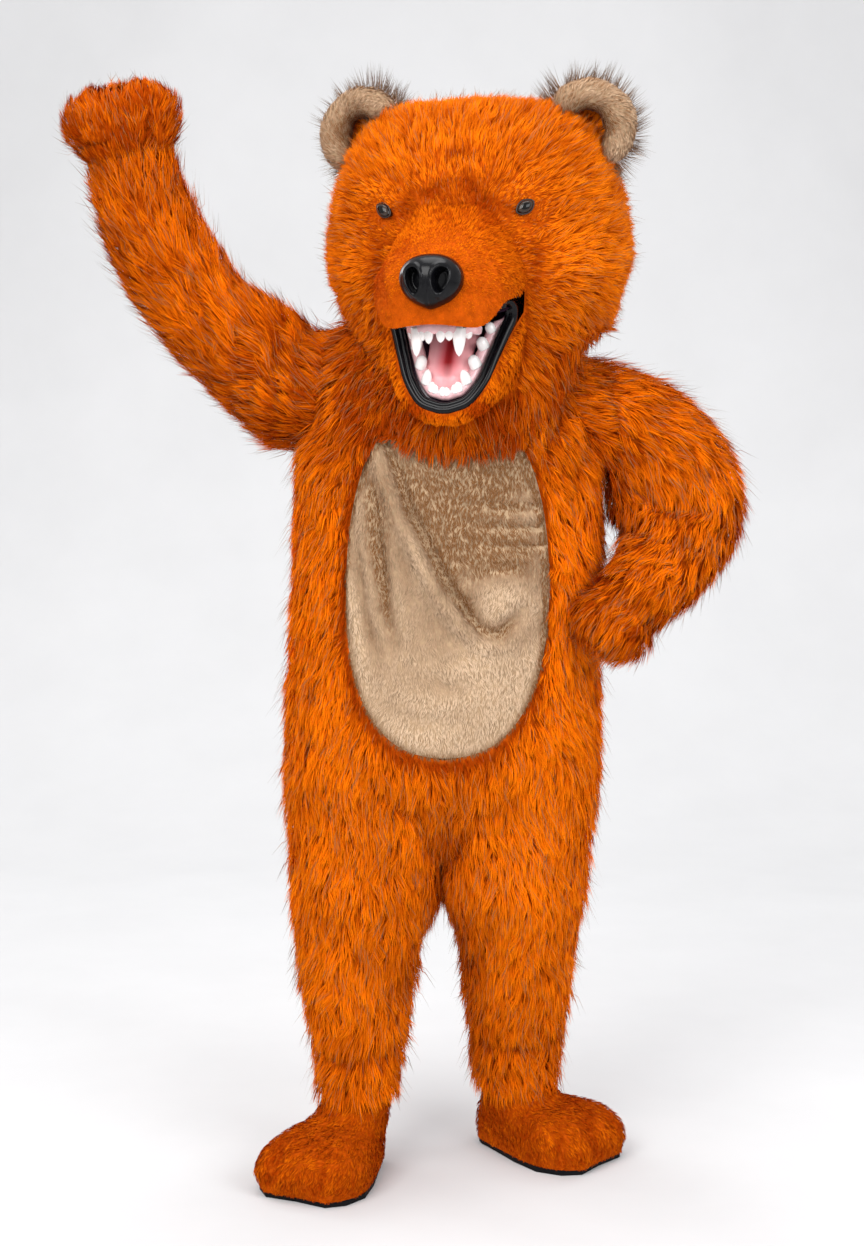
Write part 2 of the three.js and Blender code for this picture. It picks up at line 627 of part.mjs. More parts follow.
// A mitt of two halves that meet along its sides and fingertips.
function mitt(word, wrist) {
  const pose = PAW_POSE[word];
  const axis = vec(...pose.axis).normalize();
  const wide = vec(...pose.wideward);
  wide.addScaledVector(axis, -wide.dot(axis)).normalize();
  const thick = axis.clone().cross(wide);
  const cuff = Math.min(wrist.reach, wrist.over, wrist.deep) - CLOTH - pose.slack;
  for (const [half, face] of [['back', 1], ['palm', -1]]) {
    const rows = PAW.map((row, i) => {
      const along = row.along * (i === 0 ? 1 : pose.long);
      const w = i === 0 ? cuff : Math.max(row.wide * pose.broad, i === 1 ? cuff : 0);
      const d = i === 0 ? cuff : row.thick * pose.broad;
      return steps(PAW_COLUMNS).map((t) => {
        const turn = Math.PI * t;
        const fingers = Math.abs(Math.sin(FINGERS.count * turn)) - 1;
        const grown = THREE.MathUtils.smoothstep(row.along, FINGERS.start, 128);
        const groove = FINGERS.groove * grown * fingers * Math.sin(turn);
        const power = i === 0 ? 2 : PAW_POWER;
        return wrist.centre
          .clone()
          .addScaledVector(axis, along)
          .addScaledVector(wide, -w * powered(Math.cos(turn), power))
          .addScaledVector(thick, face * Math.max(d * powered(Math.sin(turn), power) + groove, 0));
      });
    });
    if (face > 0) rows.forEach((row) => row.reverse());
    panel(`paw_${word}_${half}`, 'fur', rows);
  }
}

// ---------------------------------------------------------------- feet

// A point of the sole's edge, at an angle from the toes, in the foot's own frame.
function soleEdge(angle, inset) {
  const [c, s] = [Math.cos(angle), Math.sin(angle)];
  const spread = rad(TOES.spread);
  const off = Math.abs(Math.atan2(s, c)) / spread;
  const lobes = off < 1 ? Math.abs(Math.cos((Math.PI / 2) * (TOES.count * (off + 1)) + Math.PI / 2)) : 1;
  const bulge = 1 + TOES.bulge * (lobes - 1) * (off < 1 ? 1 : 0);
  const forward = (c > 0 ? FOOT.toe : FOOT.heel) * powered(c, FOOT.power) * bulge;
  const share = ease((forward + 45) / (FOOT.toe * 0.8 + 45));
  const half = lerp(FOOT.heelHalf, FOOT.toeHalf, share);
  const edge = new THREE.Vector2(half * powered(s, FOOT.power), -forward);
  return edge.setLength(edge.length() - inset);
}

function placed(word, p, h) {
  const { x, y, turn } = FOOT_POSE[word];
  const angle = rad((word === 'left' ? -1 : 1) * turn);
  return at(
    x + p.x * Math.cos(angle) - p.y * Math.sin(angle),
    y + p.x * Math.sin(angle) + p.y * Math.cos(angle),
    h
  );
}

// How far a foot cover's collar reaches inside the leg's hem, in a direction of the foot's frame.
function collarRing(word) {
  const { h } = LEG[word][0];
  const side = (face, columns) => steps(columns).map((t) => suitPoint(word, face, h, t));
  const hem = [...side('front', FRONT_COLUMNS), ...side('back', BACK_COLUMNS).reverse()];
  const centre = placed(word, new THREE.Vector2(0, 0), h);
  return (direction) => {
    const ray = placed(word, direction, h).sub(centre);
    const reaches = hem.map((a, i) => {
      const edge = hem[(i + 1) % hem.length].clone().sub(a);
      const cross = ray.x * edge.y - ray.y * edge.x;
      const to = a.clone().sub(centre);
      const share = (to.x * ray.y - to.y * ray.x) / cross;
      const reach = (to.x * edge.y - to.y * edge.x) / cross;
      return share >= -1e-6 && share <= 1 + 1e-6 && reach > 0 ? reach : Infinity;
    });
    return Math.min(...reaches) - CLOTH - COLLAR_GAP;
  };
}

function foot(word) {
  const pose = FOOT_POSE[word];
  const collar = collarRing(word);
  const floor = SOLE.thick + SEAM;
  const angles = steps(FOOT.columns).slice(0, FOOT.columns).map((t) => 2 * Math.PI * t);
  const rows = FOOT_ROWS.map(({ out, collar: up, toe }) =>
    angles.map((angle) => {
      const edge = soleEdge(angle, 0).sub(new THREE.Vector2(0, pose.ahead));
      const start = new THREE.Vector2(Math.sin(angle), -Math.cos(angle));
      start.multiplyScalar(collar(start));
      const ahead = Math.max(Math.cos(angle), 0);
      const off = Math.abs(Math.atan2(Math.sin(angle), Math.cos(angle))) / rad(TOES.spread);
      const lobe = Math.abs(Math.cos((Math.PI / 2) * (TOES.count * (off + 1)) + Math.PI / 2)) - 1;
      const groove = off < 1 && out > 0.5 ? TOES.groove * lobe : 0;
      const rise = lerp(TOE_RISE * 0.72, TOE_RISE, ahead) * toe + (toe > 0.5 ? groove : 0);
      const height = up * (pose.top - floor) + (1 - up) * rise;
      return placed(word, start.lerp(edge, out), floor + height);
    })
  );
  rows.forEach((row) => row.reverse());
  panel(`foot_${word}_upper`, 'shortFur', rows, { closed: true });
  return sole(word, angles);
}

// The sole is a slab with chamfered edges.
function sole(word, angles) {
  const { ahead } = FOOT_POSE[word];
  const levels = [
    { h: SOLE.thick, inset: SOLE.inset - SOLE.chamfer },
    { h: SOLE.chamfer, inset: SOLE.inset - SOLE.chamfer },
    { h: 0, inset: SOLE.inset },
  ];
  const rings = levels.map(({ h, inset }) =>
    angles.map((a) => placed(word, soleEdge(a, inset).sub(new THREE.Vector2(0, ahead)), h))
  );
  return solid(`foot_${word}_sole`, 'rubber', drum(rings));
}

// Stacked rings, highest first, turning anticlockwise from above, closed with flat ends.
function drum(rings) {
  const n = rings[0].length;
  const points = rings.flat();
  const triangles = [];
  for (let i = 0; i < rings.length - 1; i++) {
    for (let j = 0; j < n; j++) {
      const [a, b] = [i * n + j, i * n + ((j + 1) % n)];
      triangles.push(a, a + n, b, b, a + n, b + n);
    }
  }
  const flat = (ring) => ring.map((p) => new THREE.Vector2(p.x, p.y));
  const lids = [[0, false], [(rings.length - 1) * n, true]];
  for (const [start, down] of lids) {
    for (const [a, b, c] of THREE.ShapeUtils.triangulateShape(flat(points.slice(start, start + n)), [])) {
      triangles.push(start + a, start + (down ? c : b), start + (down ? b : c));
    }
  }
  return geometryOf(points, triangles);
}

// ---------------------------------------------------------------- the head's form

const headTurn = rad(HEAD_AT.turn);

// A point of the head's own frame, placed on the shoulders.
const headAt = (x, y, h) =>
  at(
    HEAD_AT.x + x * Math.cos(headTurn) - y * Math.sin(headTurn),
    HEAD_AT.y + x * Math.sin(headTurn) + y * Math.cos(headTurn),
    h
  );

function headRing(h) {
  return rowAt(HEAD, 'h', h);
}

function necklineRise(place, h) {
  const { rise, fades } = NECKLINE[place];
  return rise * Math.max((fades - h) / (fades - HEAD[0].h), 0) ** NECKLINE_FADE;
}

// The head's surface at a height and an angle, 0 at the front and 180 degrees at the back.
function headPoint(h, angle, side) {
  const ring = headRing(h);
  const [c, s] = [Math.cos(angle), Math.sin(angle)];
  const x = ring.half * powered(s, ring.power);
  const y = ring.y - (c > 0 ? ring.front : ring.back) * powered(c, ring.power);
  let out = 0;
  if (y < 0) {
    for (const f of FACE_FORMS) out += f.out * bump((x - f.x) / f.wide) * bump((h - f.h) / f.tall);
  }
  const rise = s * s * necklineRise('side', h) + c ** 4 * necklineRise(c > 0 ? 'front' : 'back', h);
  const grow = 1 + out / Math.hypot(x, y);
  return headAt(side * x * grow, y * grow, h + rise);
}

// The angle at which a ring is a given half width wide, at its front or its back.
function headAngle(h, half, atBack) {
  const ring = headRing(h);
  const angle = Math.asin(Math.min(half / ring.half, 1) ** (ring.power / 2));
  return atBack ? Math.PI - angle : angle;
}

// The crown over the highest ring, between the two edges of the gusset.
function crownPoint(x, t, side) {
  const top = HEAD.at(-1);
  const front = headAngle(top.h, top.face, false);
  const back = headAngle(top.h, top.face, true);
  const edge = (angle) => -(Math.cos(angle) > 0 ? top.front : top.back) * powered(Math.cos(angle), top.power);
  const y = top.y + lerp(edge(front), edge(back), t);
  const rise = CROWN_RISE * Math.sin(Math.PI * t) * (1 - 0.35 * (x / top.face) ** 2);
  return headAt(side * x, y, top.h + rise);
}

function headSide(word, side) {
  const rows = HEAD.map((ring) => {
    const front = headAngle(ring.h, ring.face, false);
    const back = headAngle(ring.h, HEAD.at(-1).face, true);
    return steps(SIDE_COLUMNS).map((t) => headPoint(ring.h, lerp(front, back, t), side));
  });
  rows.push(steps(SIDE_COLUMNS).map((t) => crownPoint(HEAD.at(-1).face, t, side)));
  if (side === LEFT) rows.forEach((row) => row.reverse());
  panel(`head_${word}`, 'fur', rows, { wall: HEAD_WALL });
}

// One row of the gusset, from its left edge to its right.
function gussetRow(ring, half, atBack) {
  const edge = headAngle(ring.h, half, atBack);
  const middle = atBack ? Math.PI : 0;
  return steps(GUSSET_COLUMNS).map((t) => {
    const off = 2 * t - 1;
    return headPoint(ring.h, lerp(middle, edge, Math.abs(off)), off < 0 ? LEFT : RIGHT);
  });
}

function headGusset() {
  const half = HEAD.at(-1).face;
  const front = HEAD.slice(BROW_ROW).map((ring) => gussetRow(ring, ring.face, false));
  const crown = steps(SIDE_COLUMNS).slice(1, -1).map((t) =>
    steps(GUSSET_COLUMNS).map((v) => {
      const x = half * Math.abs(2 * v - 1);
      return crownPoint(x, t, v < 0.5 ? LEFT : RIGHT);
    })
  );
  const back = [...HEAD].reverse().map((ring) => gussetRow(ring, half, true));
  panel('head_gusset', 'fur', [...front, ...crown, ...back], { wall: HEAD_WALL });
  return front[0];
}

// The muzzle's root, from the left corner of the mouth over the brow to the right corner.
function muzzleRoot(brow) {
  const half = (side) =>
    HEAD.slice(MOUTH_ROW, BROW_ROW).map((ring) =>
      headPoint(ring.h, headAngle(ring.h, ring.face, false), side)
    );
  return [...half(LEFT), ...brow, ...half(RIGHT).reverse()];
}

function muzzle(brow) {
  const root = muzzleRoot(brow);
  const n = root.length - 1;
  const rings = MUZZLE.map((ring) =>
    steps(n).map((t) => {
      const turn = Math.PI * (1 - t);
      return headAt(
        ring.half * powered(Math.cos(turn), MUZZLE_POWER),
        ring.y,
        ring.lip + (ring.top - ring.lip) * powered(Math.sin(turn), MUZZLE_POWER)
      );
    })
  );
  const tip = root.map(() => headAt(0, MUZZLE_TIP.y, MUZZLE_TIP.h));
  const rows = [root, ...rings, tip].reverse();
  panel('muzzle', 'shortFur', rows, { wall: HEAD_WALL });
}

// The lower lip's line from the left corner of the mouth to the right, in the head's frame.
function lipLine() {
  const half = (side) => LIP_LINE.map(({ x, y, h }) => vec(side * x, y, h));
  return [...half(LEFT), ...half(RIGHT).reverse()];
}

// How the lip's line faces away from the mouth, in the plane seen from in front.
function lipOutward(line, i) {
  const before = line[Math.max(i - 1, 0)];
  const after = line[Math.min(i + 1, line.length - 1)];
  return vec(after.z - before.z, 0, before.x - after.x).normalize();
}

// The head's lowest edge: the points between the chin and the cape, then on to the nape.
function neckline() {
  const low = HEAD[0];
  const edge = headAngle(low.h, low.face, false);
  const nape = headAngle(low.h, HEAD.at(-1).face, true);
  const chin = [1 / 7, 3 / 7, 5 / 7].map((t) => t * edge);
  const sides = steps(SIDE_COLUMNS).map((t) => lerp(edge, nape, t));
  const half = GUSSET_COLUMNS / 2;
  const back = steps(half).slice(1).map((t) => lerp(nape, Math.PI, t));
  const angles = [...chin, ...sides, ...back];
  return {
    chin: chin.length,
    angles: [...angles.slice(0, -1).map((a) => -a).reverse(), ...angles],
  };
}

const necklinePoint = (angle) => headPoint(HEAD[0].h, Math.abs(angle), angle < 0 ? LEFT : RIGHT);

function chin() {
  const low = HEAD.slice(0, MOUTH_ROW + 1).reverse();
  const side = (s) => low.map((ring) => headPoint(ring.h, headAngle(ring.h, ring.face, false), s));
  const edge = headAngle(HEAD[0].h, HEAD[0].face, false);
  const middle = [-5, -3, -1, 1, 3, 5].map((t) => necklinePoint((t / 7) * edge));
  const root = [...side(LEFT), ...middle, ...side(RIGHT).reverse()];
  const line = lipLine();
  const last = line.length - 1;
  const rims = [
    { out: 0, back: 0 },
    { out: CHIN_RIM.out, back: -CHIN_RIM.forward },
    { out: CHIN_RIM.out + 7, back: CHIN_RIM.depth },
  ];
  const rows = rims.map(({ out, back }) =>
    line.map((p, i) => {
      if (i === 0 || i === last) return root[i].clone();
      const { rim } = LIP_LINE[Math.min(i, last - i)];
      const q = p.clone().addScaledVector(lipOutward(line, i), out * rim);
      return headAt(q.x, q.y + back * rim, q.z);
    })
  );
  panel('chin', 'shortFur', [...rows, root].reverse(), { wall: CHIN_WALL, inset: SEAM });
}

// The suit's outward normal.
function suitNormal(word, face, h, u) {
  const step = 0.02;
  const [lo, hi] = [Math.max(u - step, 0), Math.min(u + step, 1)];
  const across = suitPoint(word, face, h, hi).sub(suitPoint(word, face, h, lo));
  const up = suitPoint(word, face, h + 3, u).sub(suitPoint(word, face, h - 3, u));
  const n = across.cross(up).normalize();
  const flip = (word === 'left') !== (face === 'back');
  return flip ? n.negate() : n;
}

// The neck cape hangs from the head's lowest edge to a hem that lies over the suit.
function mane() {
  const { angles } = neckline();
  const columns = angles.map((angle) => {
    const word = angle < 0 ? 'left' : 'right';
    const around = Math.abs(angle) / (Math.PI / 2);
    const face = around <= 1 ? 'front' : 'back';
    const u = around <= 1 ? around : 2 - around;
    const h = column(MANE_HEM, 'around', 'h', around);
    const out = suitNormal(word, face, h, u);
    const hem = suitPoint(word, face, h, u).addScaledVector(out, MANE_LIFT);
    const top = necklinePoint(angle);
    const away = hem.clone().setZ(0).normalize().multiplyScalar(MANE_BULGE * hem.distanceTo(top));
    return [top, ...MANE_ROWS.map((t) =>
      top.clone().lerp(hem, t).addScaledVector(away, Math.sin(Math.PI * t))
    )];
  });
  const rows = [...columns[0].keys()].map((i) => columns.map((c) => c[i])).reverse();
  const side = angles.findIndex((a) => a >= -Math.PI / 2);
  const other = angles.findIndex((a) => a >= Math.PI / 2);
  const wrap = (row) => [...row.slice(other), ...row.slice(0, side + 1)];
  panel('mane_front', 'fur', rows.map((row) => row.slice(side, other + 1)), { inset: CAPE_INSET });
  panel('mane_back', 'fur', rows.map(wrap), { inset: CAPE_INSET });
}

// ---------------------------------------------------------------- the face's hard pieces

function manifoldOf(geometry) {
  const bare = geometry.clone();
  bare.deleteAttribute('normal');
  bare.deleteAttribute('uv');
  const merged = mergeVertices(bare, 1e-4);
  return new wasm.Manifold(
    new wasm.Mesh({
      numProp: 3,
      vertProperties: new Float32Array(merged.attributes.position.array),
      triVerts: new Uint32Array(merged.index.array),
    })
  );
}

function geometryFrom(manifold) {
  const { vertProperties, triVerts } = manifold.getMesh();
  const geometry = new THREE.BufferGeometry();
  geometry.setAttribute('position', new THREE.BufferAttribute(vertProperties, 3));
  geometry.setIndex(new THREE.BufferAttribute(triVerts, 1));
  return geometry;
}

// A rounded block in the head's frame.
function pebble(x, y, h, half, deep, tall, power, wide = 14, high = 8) {
  const ball = new THREE.SphereGeometry(1, wide, high);
  const p = ball.attributes.position;
  for (let i = 0; i < p.count; i++) {
    const q = vec(p.getX(i), p.getY(i), p.getZ(i));
    const size = (Math.abs(q.x) ** power + Math.abs(q.y) ** power + Math.abs(q.z) ** power) ** (-1 / power);
    q.multiplyScalar(size);
    const spot_ = headAt(x + q.x * half, y - q.z * deep, h + q.y * tall);
    p.setXYZ(i, spot_.x, spot_.y, spot_.z);
  }
  return ball;
}

// What the given panels hold within a seam's gap of their outside, as deep as asked, so that a
// hard piece cut by it lies on them.
function seat(names, deep) {
  return names
    .map((name) => sewnCloth.find((m) => m.name === name))
    .map((m) => {
      const outside = m.points.map((p, i) => p.clone().addScaledVector(m.normals[i], SEAM));
      const inside = m.points.map((p, i) => p.clone().addScaledVector(m.normals[i], -deep));
      const open = { ...m, outside, inside };
      return manifoldOf(closedWall(open));
    })
    .reduce((all, one) => all.add(one));
}

// The largest piece of a body once it is cut by its seat.
function seated(body, names, deep) {
  const parts = body.subtract(seat(names, deep)).decompose();
  return parts.reduce((a, b) => (a.volume() >= b.volume() ? a : b));
}

function nose() {
  const block = manifoldOf(pebble(0, NOSE.y, NOSE.h, NOSE.half, NOSE.deep, NOSE.tall, NOSE.power));
  const { x, y, h, half, deep, tall } = NOSTRIL;
  const holes = SIDES.map(({ side }) => manifoldOf(pebble(side * x, y, h, half, deep, tall, 2.2, 10, 6)));
  const bored = holes.reduce((m, hole) => m.subtract(hole), block);
  return solid('nose', 'gloss', geometryFrom(seated(bored, ['muzzle'], 70)));
}

// A closed tube through rings of points, with flat ends.
function tube(rings) {
  const n = rings[0].length;
  const points = rings.flat();
  const triangles = [];
  for (let i = 0; i < rings.length - 1; i++) {
    for (let j = 0; j < n; j++) {
      const [a, b] = [i * n + j, i * n + ((j + 1) % n)];
      triangles.push(a, b, a + n, b, b + n, a + n);
    }
  }
  const end = points.length - n;
  for (let j = 1; j < n - 1; j++) triangles.push(0, j + 1, j, end, end + j, end + j + 1);
  return geometryOf(points, triangles);
}

// A band along the lower lip's line: its section lies inward from the line and behind it.
function lipBand({ from, to, front, behind }, first, corners) {
  const line = lipLine();
  const used = line.slice(first, line.length - first);
  return used.map((p, k) => {
    const out = lipOutward(line, k + first);
    const corner = (a, b) => {
      const q = p.clone().addScaledVector(out, a);
      return headAt(q.x, q.y - b, q.z);
    };
    return corners.map(([a, b]) => corner(lerp(from, to, a), lerp(behind, front, b)));
  });
}

const ROUND_BAND = [[1, 0], [1, 0.65], [0.75, 1], [0.2, 1], [0, 0.7], [0, 0]];

function lips() {
  const band = manifoldOf(tube(lipBand(LIP_BAND, 1, ROUND_BAND)));
  return solid('lips', 'gloss', geometryFrom(seated(band, ['chin'], 12)));
}

function lowerTeeth() {
  const rings = lipBand(GUM, 1, ROUND_BAND);
  let body = manifoldOf(tube(rings));
  const crest = rings.map((ring) => ring[2].clone().lerp(ring[3], 0.5));
  const path = new THREE.CatmullRomCurve3(crest);
  for (let i = 0; i < LOWER_TEETH.count; i++) {
    const t = lerp(LOWER_TEETH.start, 1 - LOWER_TEETH.start, i / (LOWER_TEETH.count - 1));
    body = body.add(toothAt(path.getPointAt(t), LOWER_TEETH.half, LOWER_TEETH.high, vec(0, -1, 0.25)));
  }
  return solid('gums_teeth_lower', 'gum', geometryFrom(seated(body, ['mouth_lining'], 30)));
}

// A tooth: a tapered ball that stands along a direction.
function toothAt(root, half, high, direction) {
  const tooth = new THREE.SphereGeometry(1, 6, 4);
  tooth.scale(half, high, half);
  tooth.applyQuaternion(
    new THREE.Quaternion().setFromUnitVectors(vec(0, 1, 0), direction.clone().normalize())
  );
  tooth.translate(root.x, root.y, root.z);
  return manifoldOf(tooth);
}

// The upper gum is an arch inside the muzzle, with its teeth hanging from it.
function upperTeeth() {
  const arch = (t, inset, h) => {
    const turn = Math.PI * (1 - t);
    return headAt(
      (UPPER_GUM.half - inset) * powered(Math.cos(turn), 2.6),
      lerp(UPPER_GUM.y, UPPER_GUM.front + inset, powered(Math.sin(turn), 2.6)),
      h
    );
  };
  const { wide, tall, h, sides } = UPPER_GUM;
  const rings = steps(sides).map((t) => [
    arch(t, 0, h), arch(t, wide, h), arch(t, wide, h + tall), arch(t, 0, h + tall),
  ]);
  let body = manifoldOf(tube(rings));
  for (const { at: t, half, drop } of UPPER_TEETH) {
    const root = arch(t, wide / 2, h + 4);
    body = body.add(toothAt(root, half, drop, vec(0, -0.05, -1)));
  }
  return solid('gums_teeth_upper', 'gum', geometryFrom(seated(body, ['mouth_lining'], 30)));
}

function tongue() {
  const { half, thick, tipY, tipH, rootY, rootH, sides } = TONGUE;
  const slope = vec(0, tipY - rootY, tipH - rootH).normalize();
  const face = vec(0, slope.z, -slope.y).normalize();
  const rings = steps(TONGUE.steps).map((t) => {
    const width = half * Math.sqrt(Math.max(1 - Math.max((t - 0.62) / 0.4, 0) ** 2, 0.06));
    const middle = vec(0, lerp(rootY, tipY, t), lerp(rootH, tipH, t));
    return steps(sides).slice(0, sides).map((v) => {
      const turn = 2 * Math.PI * v;
      const groove = Math.sin(turn) > 0 ? 4 * bump(Math.cos(turn) / 0.3) : 0;
      const q = middle.clone().addScaledVector(face, (thick / 2) * powered(Math.sin(turn), 2.4) - groove);
      return headAt(q.x + width * powered(Math.cos(turn), 2.4), q.y, q.z);
    });
  });
  return solid('tongue', 'tongue', geometryFrom(seated(manifoldOf(tube(rings)), ['mouth_lining'], 30)));
}

// The mouth's lining runs from inside the lips back to an open throat, which the wearer
// sees and breathes through.
function mouthLining() {
  const line = lipLine();
  const { below, above } = LINING;
  const lower = line.slice(1, -1).map((p, k) => {
    const q = p.clone().addScaledVector(lipOutward(line, k + 1), below.inward);
    return vec(q.x, q.y + below.back, q.z);
  });
  const half = (side) =>
    MUZZLE.map((ring) => vec(side * (ring.half - above.inward), ring.y + above.back, ring.lip + above.up));
  const mouth = [...lower, ...half(RIGHT), ...half(LEFT).reverse()];
  const rows = steps(LINING.rows).map((t) =>
    mouth.map((p) => {
      const angle = Math.atan2(p.z - THROAT.h, p.x);
      const back = vec(THROAT.half * Math.cos(angle), THROAT.y, THROAT.h + THROAT.tall * Math.sin(angle));
      return headAt(
        lerp(p.x, back.x, t),
        lerp(p.y, back.y, t ** 1.3),
        lerp(p.z, back.z, t ** 0.6)
      );
    })
  );
  panel('mouth_lining', 'dark', rows, { wall: LINING.wall, closed: true });
}

// An eye is a glass lens let into the face.
function eye(word, side) {
  const angle = headAngle(EYE.h, EYE.x, false);
  const centre = headPoint(EYE.h, angle, side);
  const across = headPoint(EYE.h, angle + 0.05, side).sub(headPoint(EYE.h, angle - 0.05, side));
  const up = headPoint(EYE.h + 8, angle, side).sub(headPoint(EYE.h - 8, angle, side)).normalize();
  const out = across.cross(up).multiplyScalar(side).normalize();
  const lens = new THREE.SphereGeometry(EYE.radius, 12, 8);
  lens.applyMatrix4(new THREE.Matrix4().makeBasis(up.clone().cross(out), up, out));
  lens.translate(...centre.addScaledVector(out, EYE.forward).toArray());
  return solid(`eye_${word}`, 'glass', geometryFrom(seated(manifoldOf(lens), [`head_${word}`], 30)));
}

// ---------------------------------------------------------------- ears

// A point of an ear: round it in degrees from its inner end, out from its centre, and
// forward of its plane.
function earPoint(side, degrees, out, forward) {
  const turn = rad(degrees);
  const lean = rad(EAR.lean);
  const swing = rad(EAR.swing);
  const x = -Math.cos(turn) * out;
  const z = Math.sin(turn) * out;
  const leant = { x: x * Math.cos(lean) + z * Math.sin(lean), z: z * Math.cos(lean) - x * Math.sin(lean) };
  const y = -forward;
  return headAt(
    side * (EAR.x + leant.x * Math.cos(swing) - y * Math.sin(swing)),
    EAR.y + leant.x * Math.sin(swing) + y * Math.cos(swing),
    EAR.h + leant.z
  );
}

function earRim(word, side) {
  const rings = steps(EAR_STEPS).map((t) => {
    const degrees = lerp(EAR.from, EAR.to, t);
    const thick = EAR.rim * Math.sqrt(Math.max(1 - (2 * t - 1) ** 6, 0.12));
    return steps(RIM_SIDES).slice(0, RIM_SIDES).map((v) => {
      const turn = 2 * Math.PI * v * side;
      return earPoint(side, degrees, EAR.radius + thick * Math.cos(turn), thick * Math.sin(turn));
    });
  });
  const rim = seated(manifoldOf(tube(rings)), [`head_${word}`], 60);
  return solid(`ear_${word}_rim`, 'tan', geometryFrom(rim));
}

// The ear's back is a shallow cup behind the rim.
function earBack(word, side) {
  const rows = [1, 0.8, 0.5, 0].map((share) =>
    steps(EAR_STEPS).map((t) => {
      const degrees = lerp(EAR.from, EAR.to, t);
      const out = (EAR.radius + EAR.rim * 0.6) * share;
      const behind = EAR.rim + 2 + EAR.cup * Math.sqrt(1 - share * share);
      return earPoint(side, degrees, out, -behind);
    })
  );
  if (side === RIGHT) rows.forEach((row) => row.reverse());
  panel(`ear_${word}_back`, 'fur', rows);
}

// ---------------------------------------------------------------- the costume

const costume = new THREE.Group();

for (const { word } of SIDES) {
  suitPanel(word, 'front');
  suitPanel(word, 'back');
  mitt(word, sleeve(word));
  costume.add(foot(word));
}
bellyPatch();
for (const { word, side } of SIDES) headSide(word, side);
muzzle(headGusset());
chin();
mane();
mouthLining();
for (const { word, side } of SIDES) earBack(word, side);

const sewnCloth = sewn(cloth);
for (const sheet of sewnCloth) {
  const mesh = walled(sheet);
  const base = sheet.name.match(/^ear_(.*)_back$/)?.[1];
  if (base) mesh.geometry = geometryFrom(seated(manifoldOf(mesh.geometry), [`head_${base}`], 60));
  costume.add(mesh);
}
costume.add(nose(), lips(), lowerTeeth(), upperTeeth(), tongue());
for (const { word, side } of SIDES) costume.add(eye(word, side), earRim(word, side));

export default costume;
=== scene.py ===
"""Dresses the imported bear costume: cloth shells with their creases, fur pile, face and soles."""

import math
from collections import namedtuple

import bmesh
import bpy
import numpy as np
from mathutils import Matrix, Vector, kdtree


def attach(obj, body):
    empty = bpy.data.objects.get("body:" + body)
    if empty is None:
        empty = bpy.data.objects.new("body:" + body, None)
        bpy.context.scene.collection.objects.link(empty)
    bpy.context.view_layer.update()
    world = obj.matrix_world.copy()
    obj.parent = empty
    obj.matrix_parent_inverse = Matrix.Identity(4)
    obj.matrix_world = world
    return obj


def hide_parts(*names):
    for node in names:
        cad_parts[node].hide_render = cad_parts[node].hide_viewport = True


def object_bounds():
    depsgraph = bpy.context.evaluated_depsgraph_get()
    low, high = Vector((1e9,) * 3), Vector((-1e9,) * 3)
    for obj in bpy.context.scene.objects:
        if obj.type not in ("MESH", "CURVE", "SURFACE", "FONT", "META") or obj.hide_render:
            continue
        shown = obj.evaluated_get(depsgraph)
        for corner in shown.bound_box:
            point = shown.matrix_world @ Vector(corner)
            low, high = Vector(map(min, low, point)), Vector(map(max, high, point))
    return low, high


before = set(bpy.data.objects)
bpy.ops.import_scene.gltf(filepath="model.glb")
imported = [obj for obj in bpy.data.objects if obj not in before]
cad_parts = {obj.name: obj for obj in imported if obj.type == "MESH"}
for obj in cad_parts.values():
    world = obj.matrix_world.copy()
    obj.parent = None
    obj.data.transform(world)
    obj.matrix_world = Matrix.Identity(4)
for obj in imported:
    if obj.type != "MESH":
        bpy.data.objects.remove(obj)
CAD_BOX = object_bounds()

MM = 0.001
FLOOR_Z = -1.43
CAD_LOW, CAD_HIGH = (np.array(corner) for corner in CAD_BOX)
# Fur stands proud of the solids' box by most of what fabric may: 3% of each side and 10 mm.
FUR_REACH = 0.85 * (0.03 * (CAD_HIGH - CAD_LOW) + 0.01)
FUR_LOW, FUR_HIGH = CAD_LOW - FUR_REACH, CAD_HIGH + FUR_REACH
FUR_LOW[2] = FLOOR_Z + 1.5 * MM
LEFT, RIGHT = -1, 1
SIDES = {"left": LEFT, "right": RIGHT}


def placed(name, data):
    """A new object in the scene, of a mesh, a light or a camera."""
    thing = bpy.data.objects.new(name, data)
    bpy.context.collection.objects.link(thing)
    return thing


# ---------------------------------------------------------------- camera, light and stage

CAMERA = {"at": (-0.023, -3.8, -0.08), "pitch": -5.46, "lens": 62.35, "sensor": 36, "far": 50}
LIGHTS = [  # name, place, aim, size in m, watts, colour
    ("key", (-2.1, -3.4, 2.3), (0.0, 0.0, -0.1), 2.6, 142, (1.0, 0.99, 0.975)),
    ("fill", (2.6, -3.2, 1.2), (0.0, 0.0, -0.3), 2.4, 84, (0.99, 0.995, 1.0)),
    ("top", (0.0, -0.2, 3.4), (0.0, 0.1, 0.0), 2.4, 66, (1.0, 1.0, 1.0)),
    ("catch", (-0.7, -3.3, 1.5), (0.05, -0.2, 0.25), 0.3, 9, (1.0, 1.0, 1.0)),
    ("rear_left", (-2.6, 2.6, 1.8), (0.0, 0.0, -0.2), 2.0, 40, (1.0, 1.0, 1.0)),
    ("rear_right", (2.6, 2.6, 1.8), (0.0, 0.0, -0.2), 2.0, 40, (1.0, 1.0, 1.0)),
]
WORLD = {"colour": (0.965, 0.97, 0.98), "strength": 0.80}
SWEEP = {"half": 9.0, "front": -7.0, "bend": 2.6, "radius": 1.8, "top": 6.0, "steps": 12}


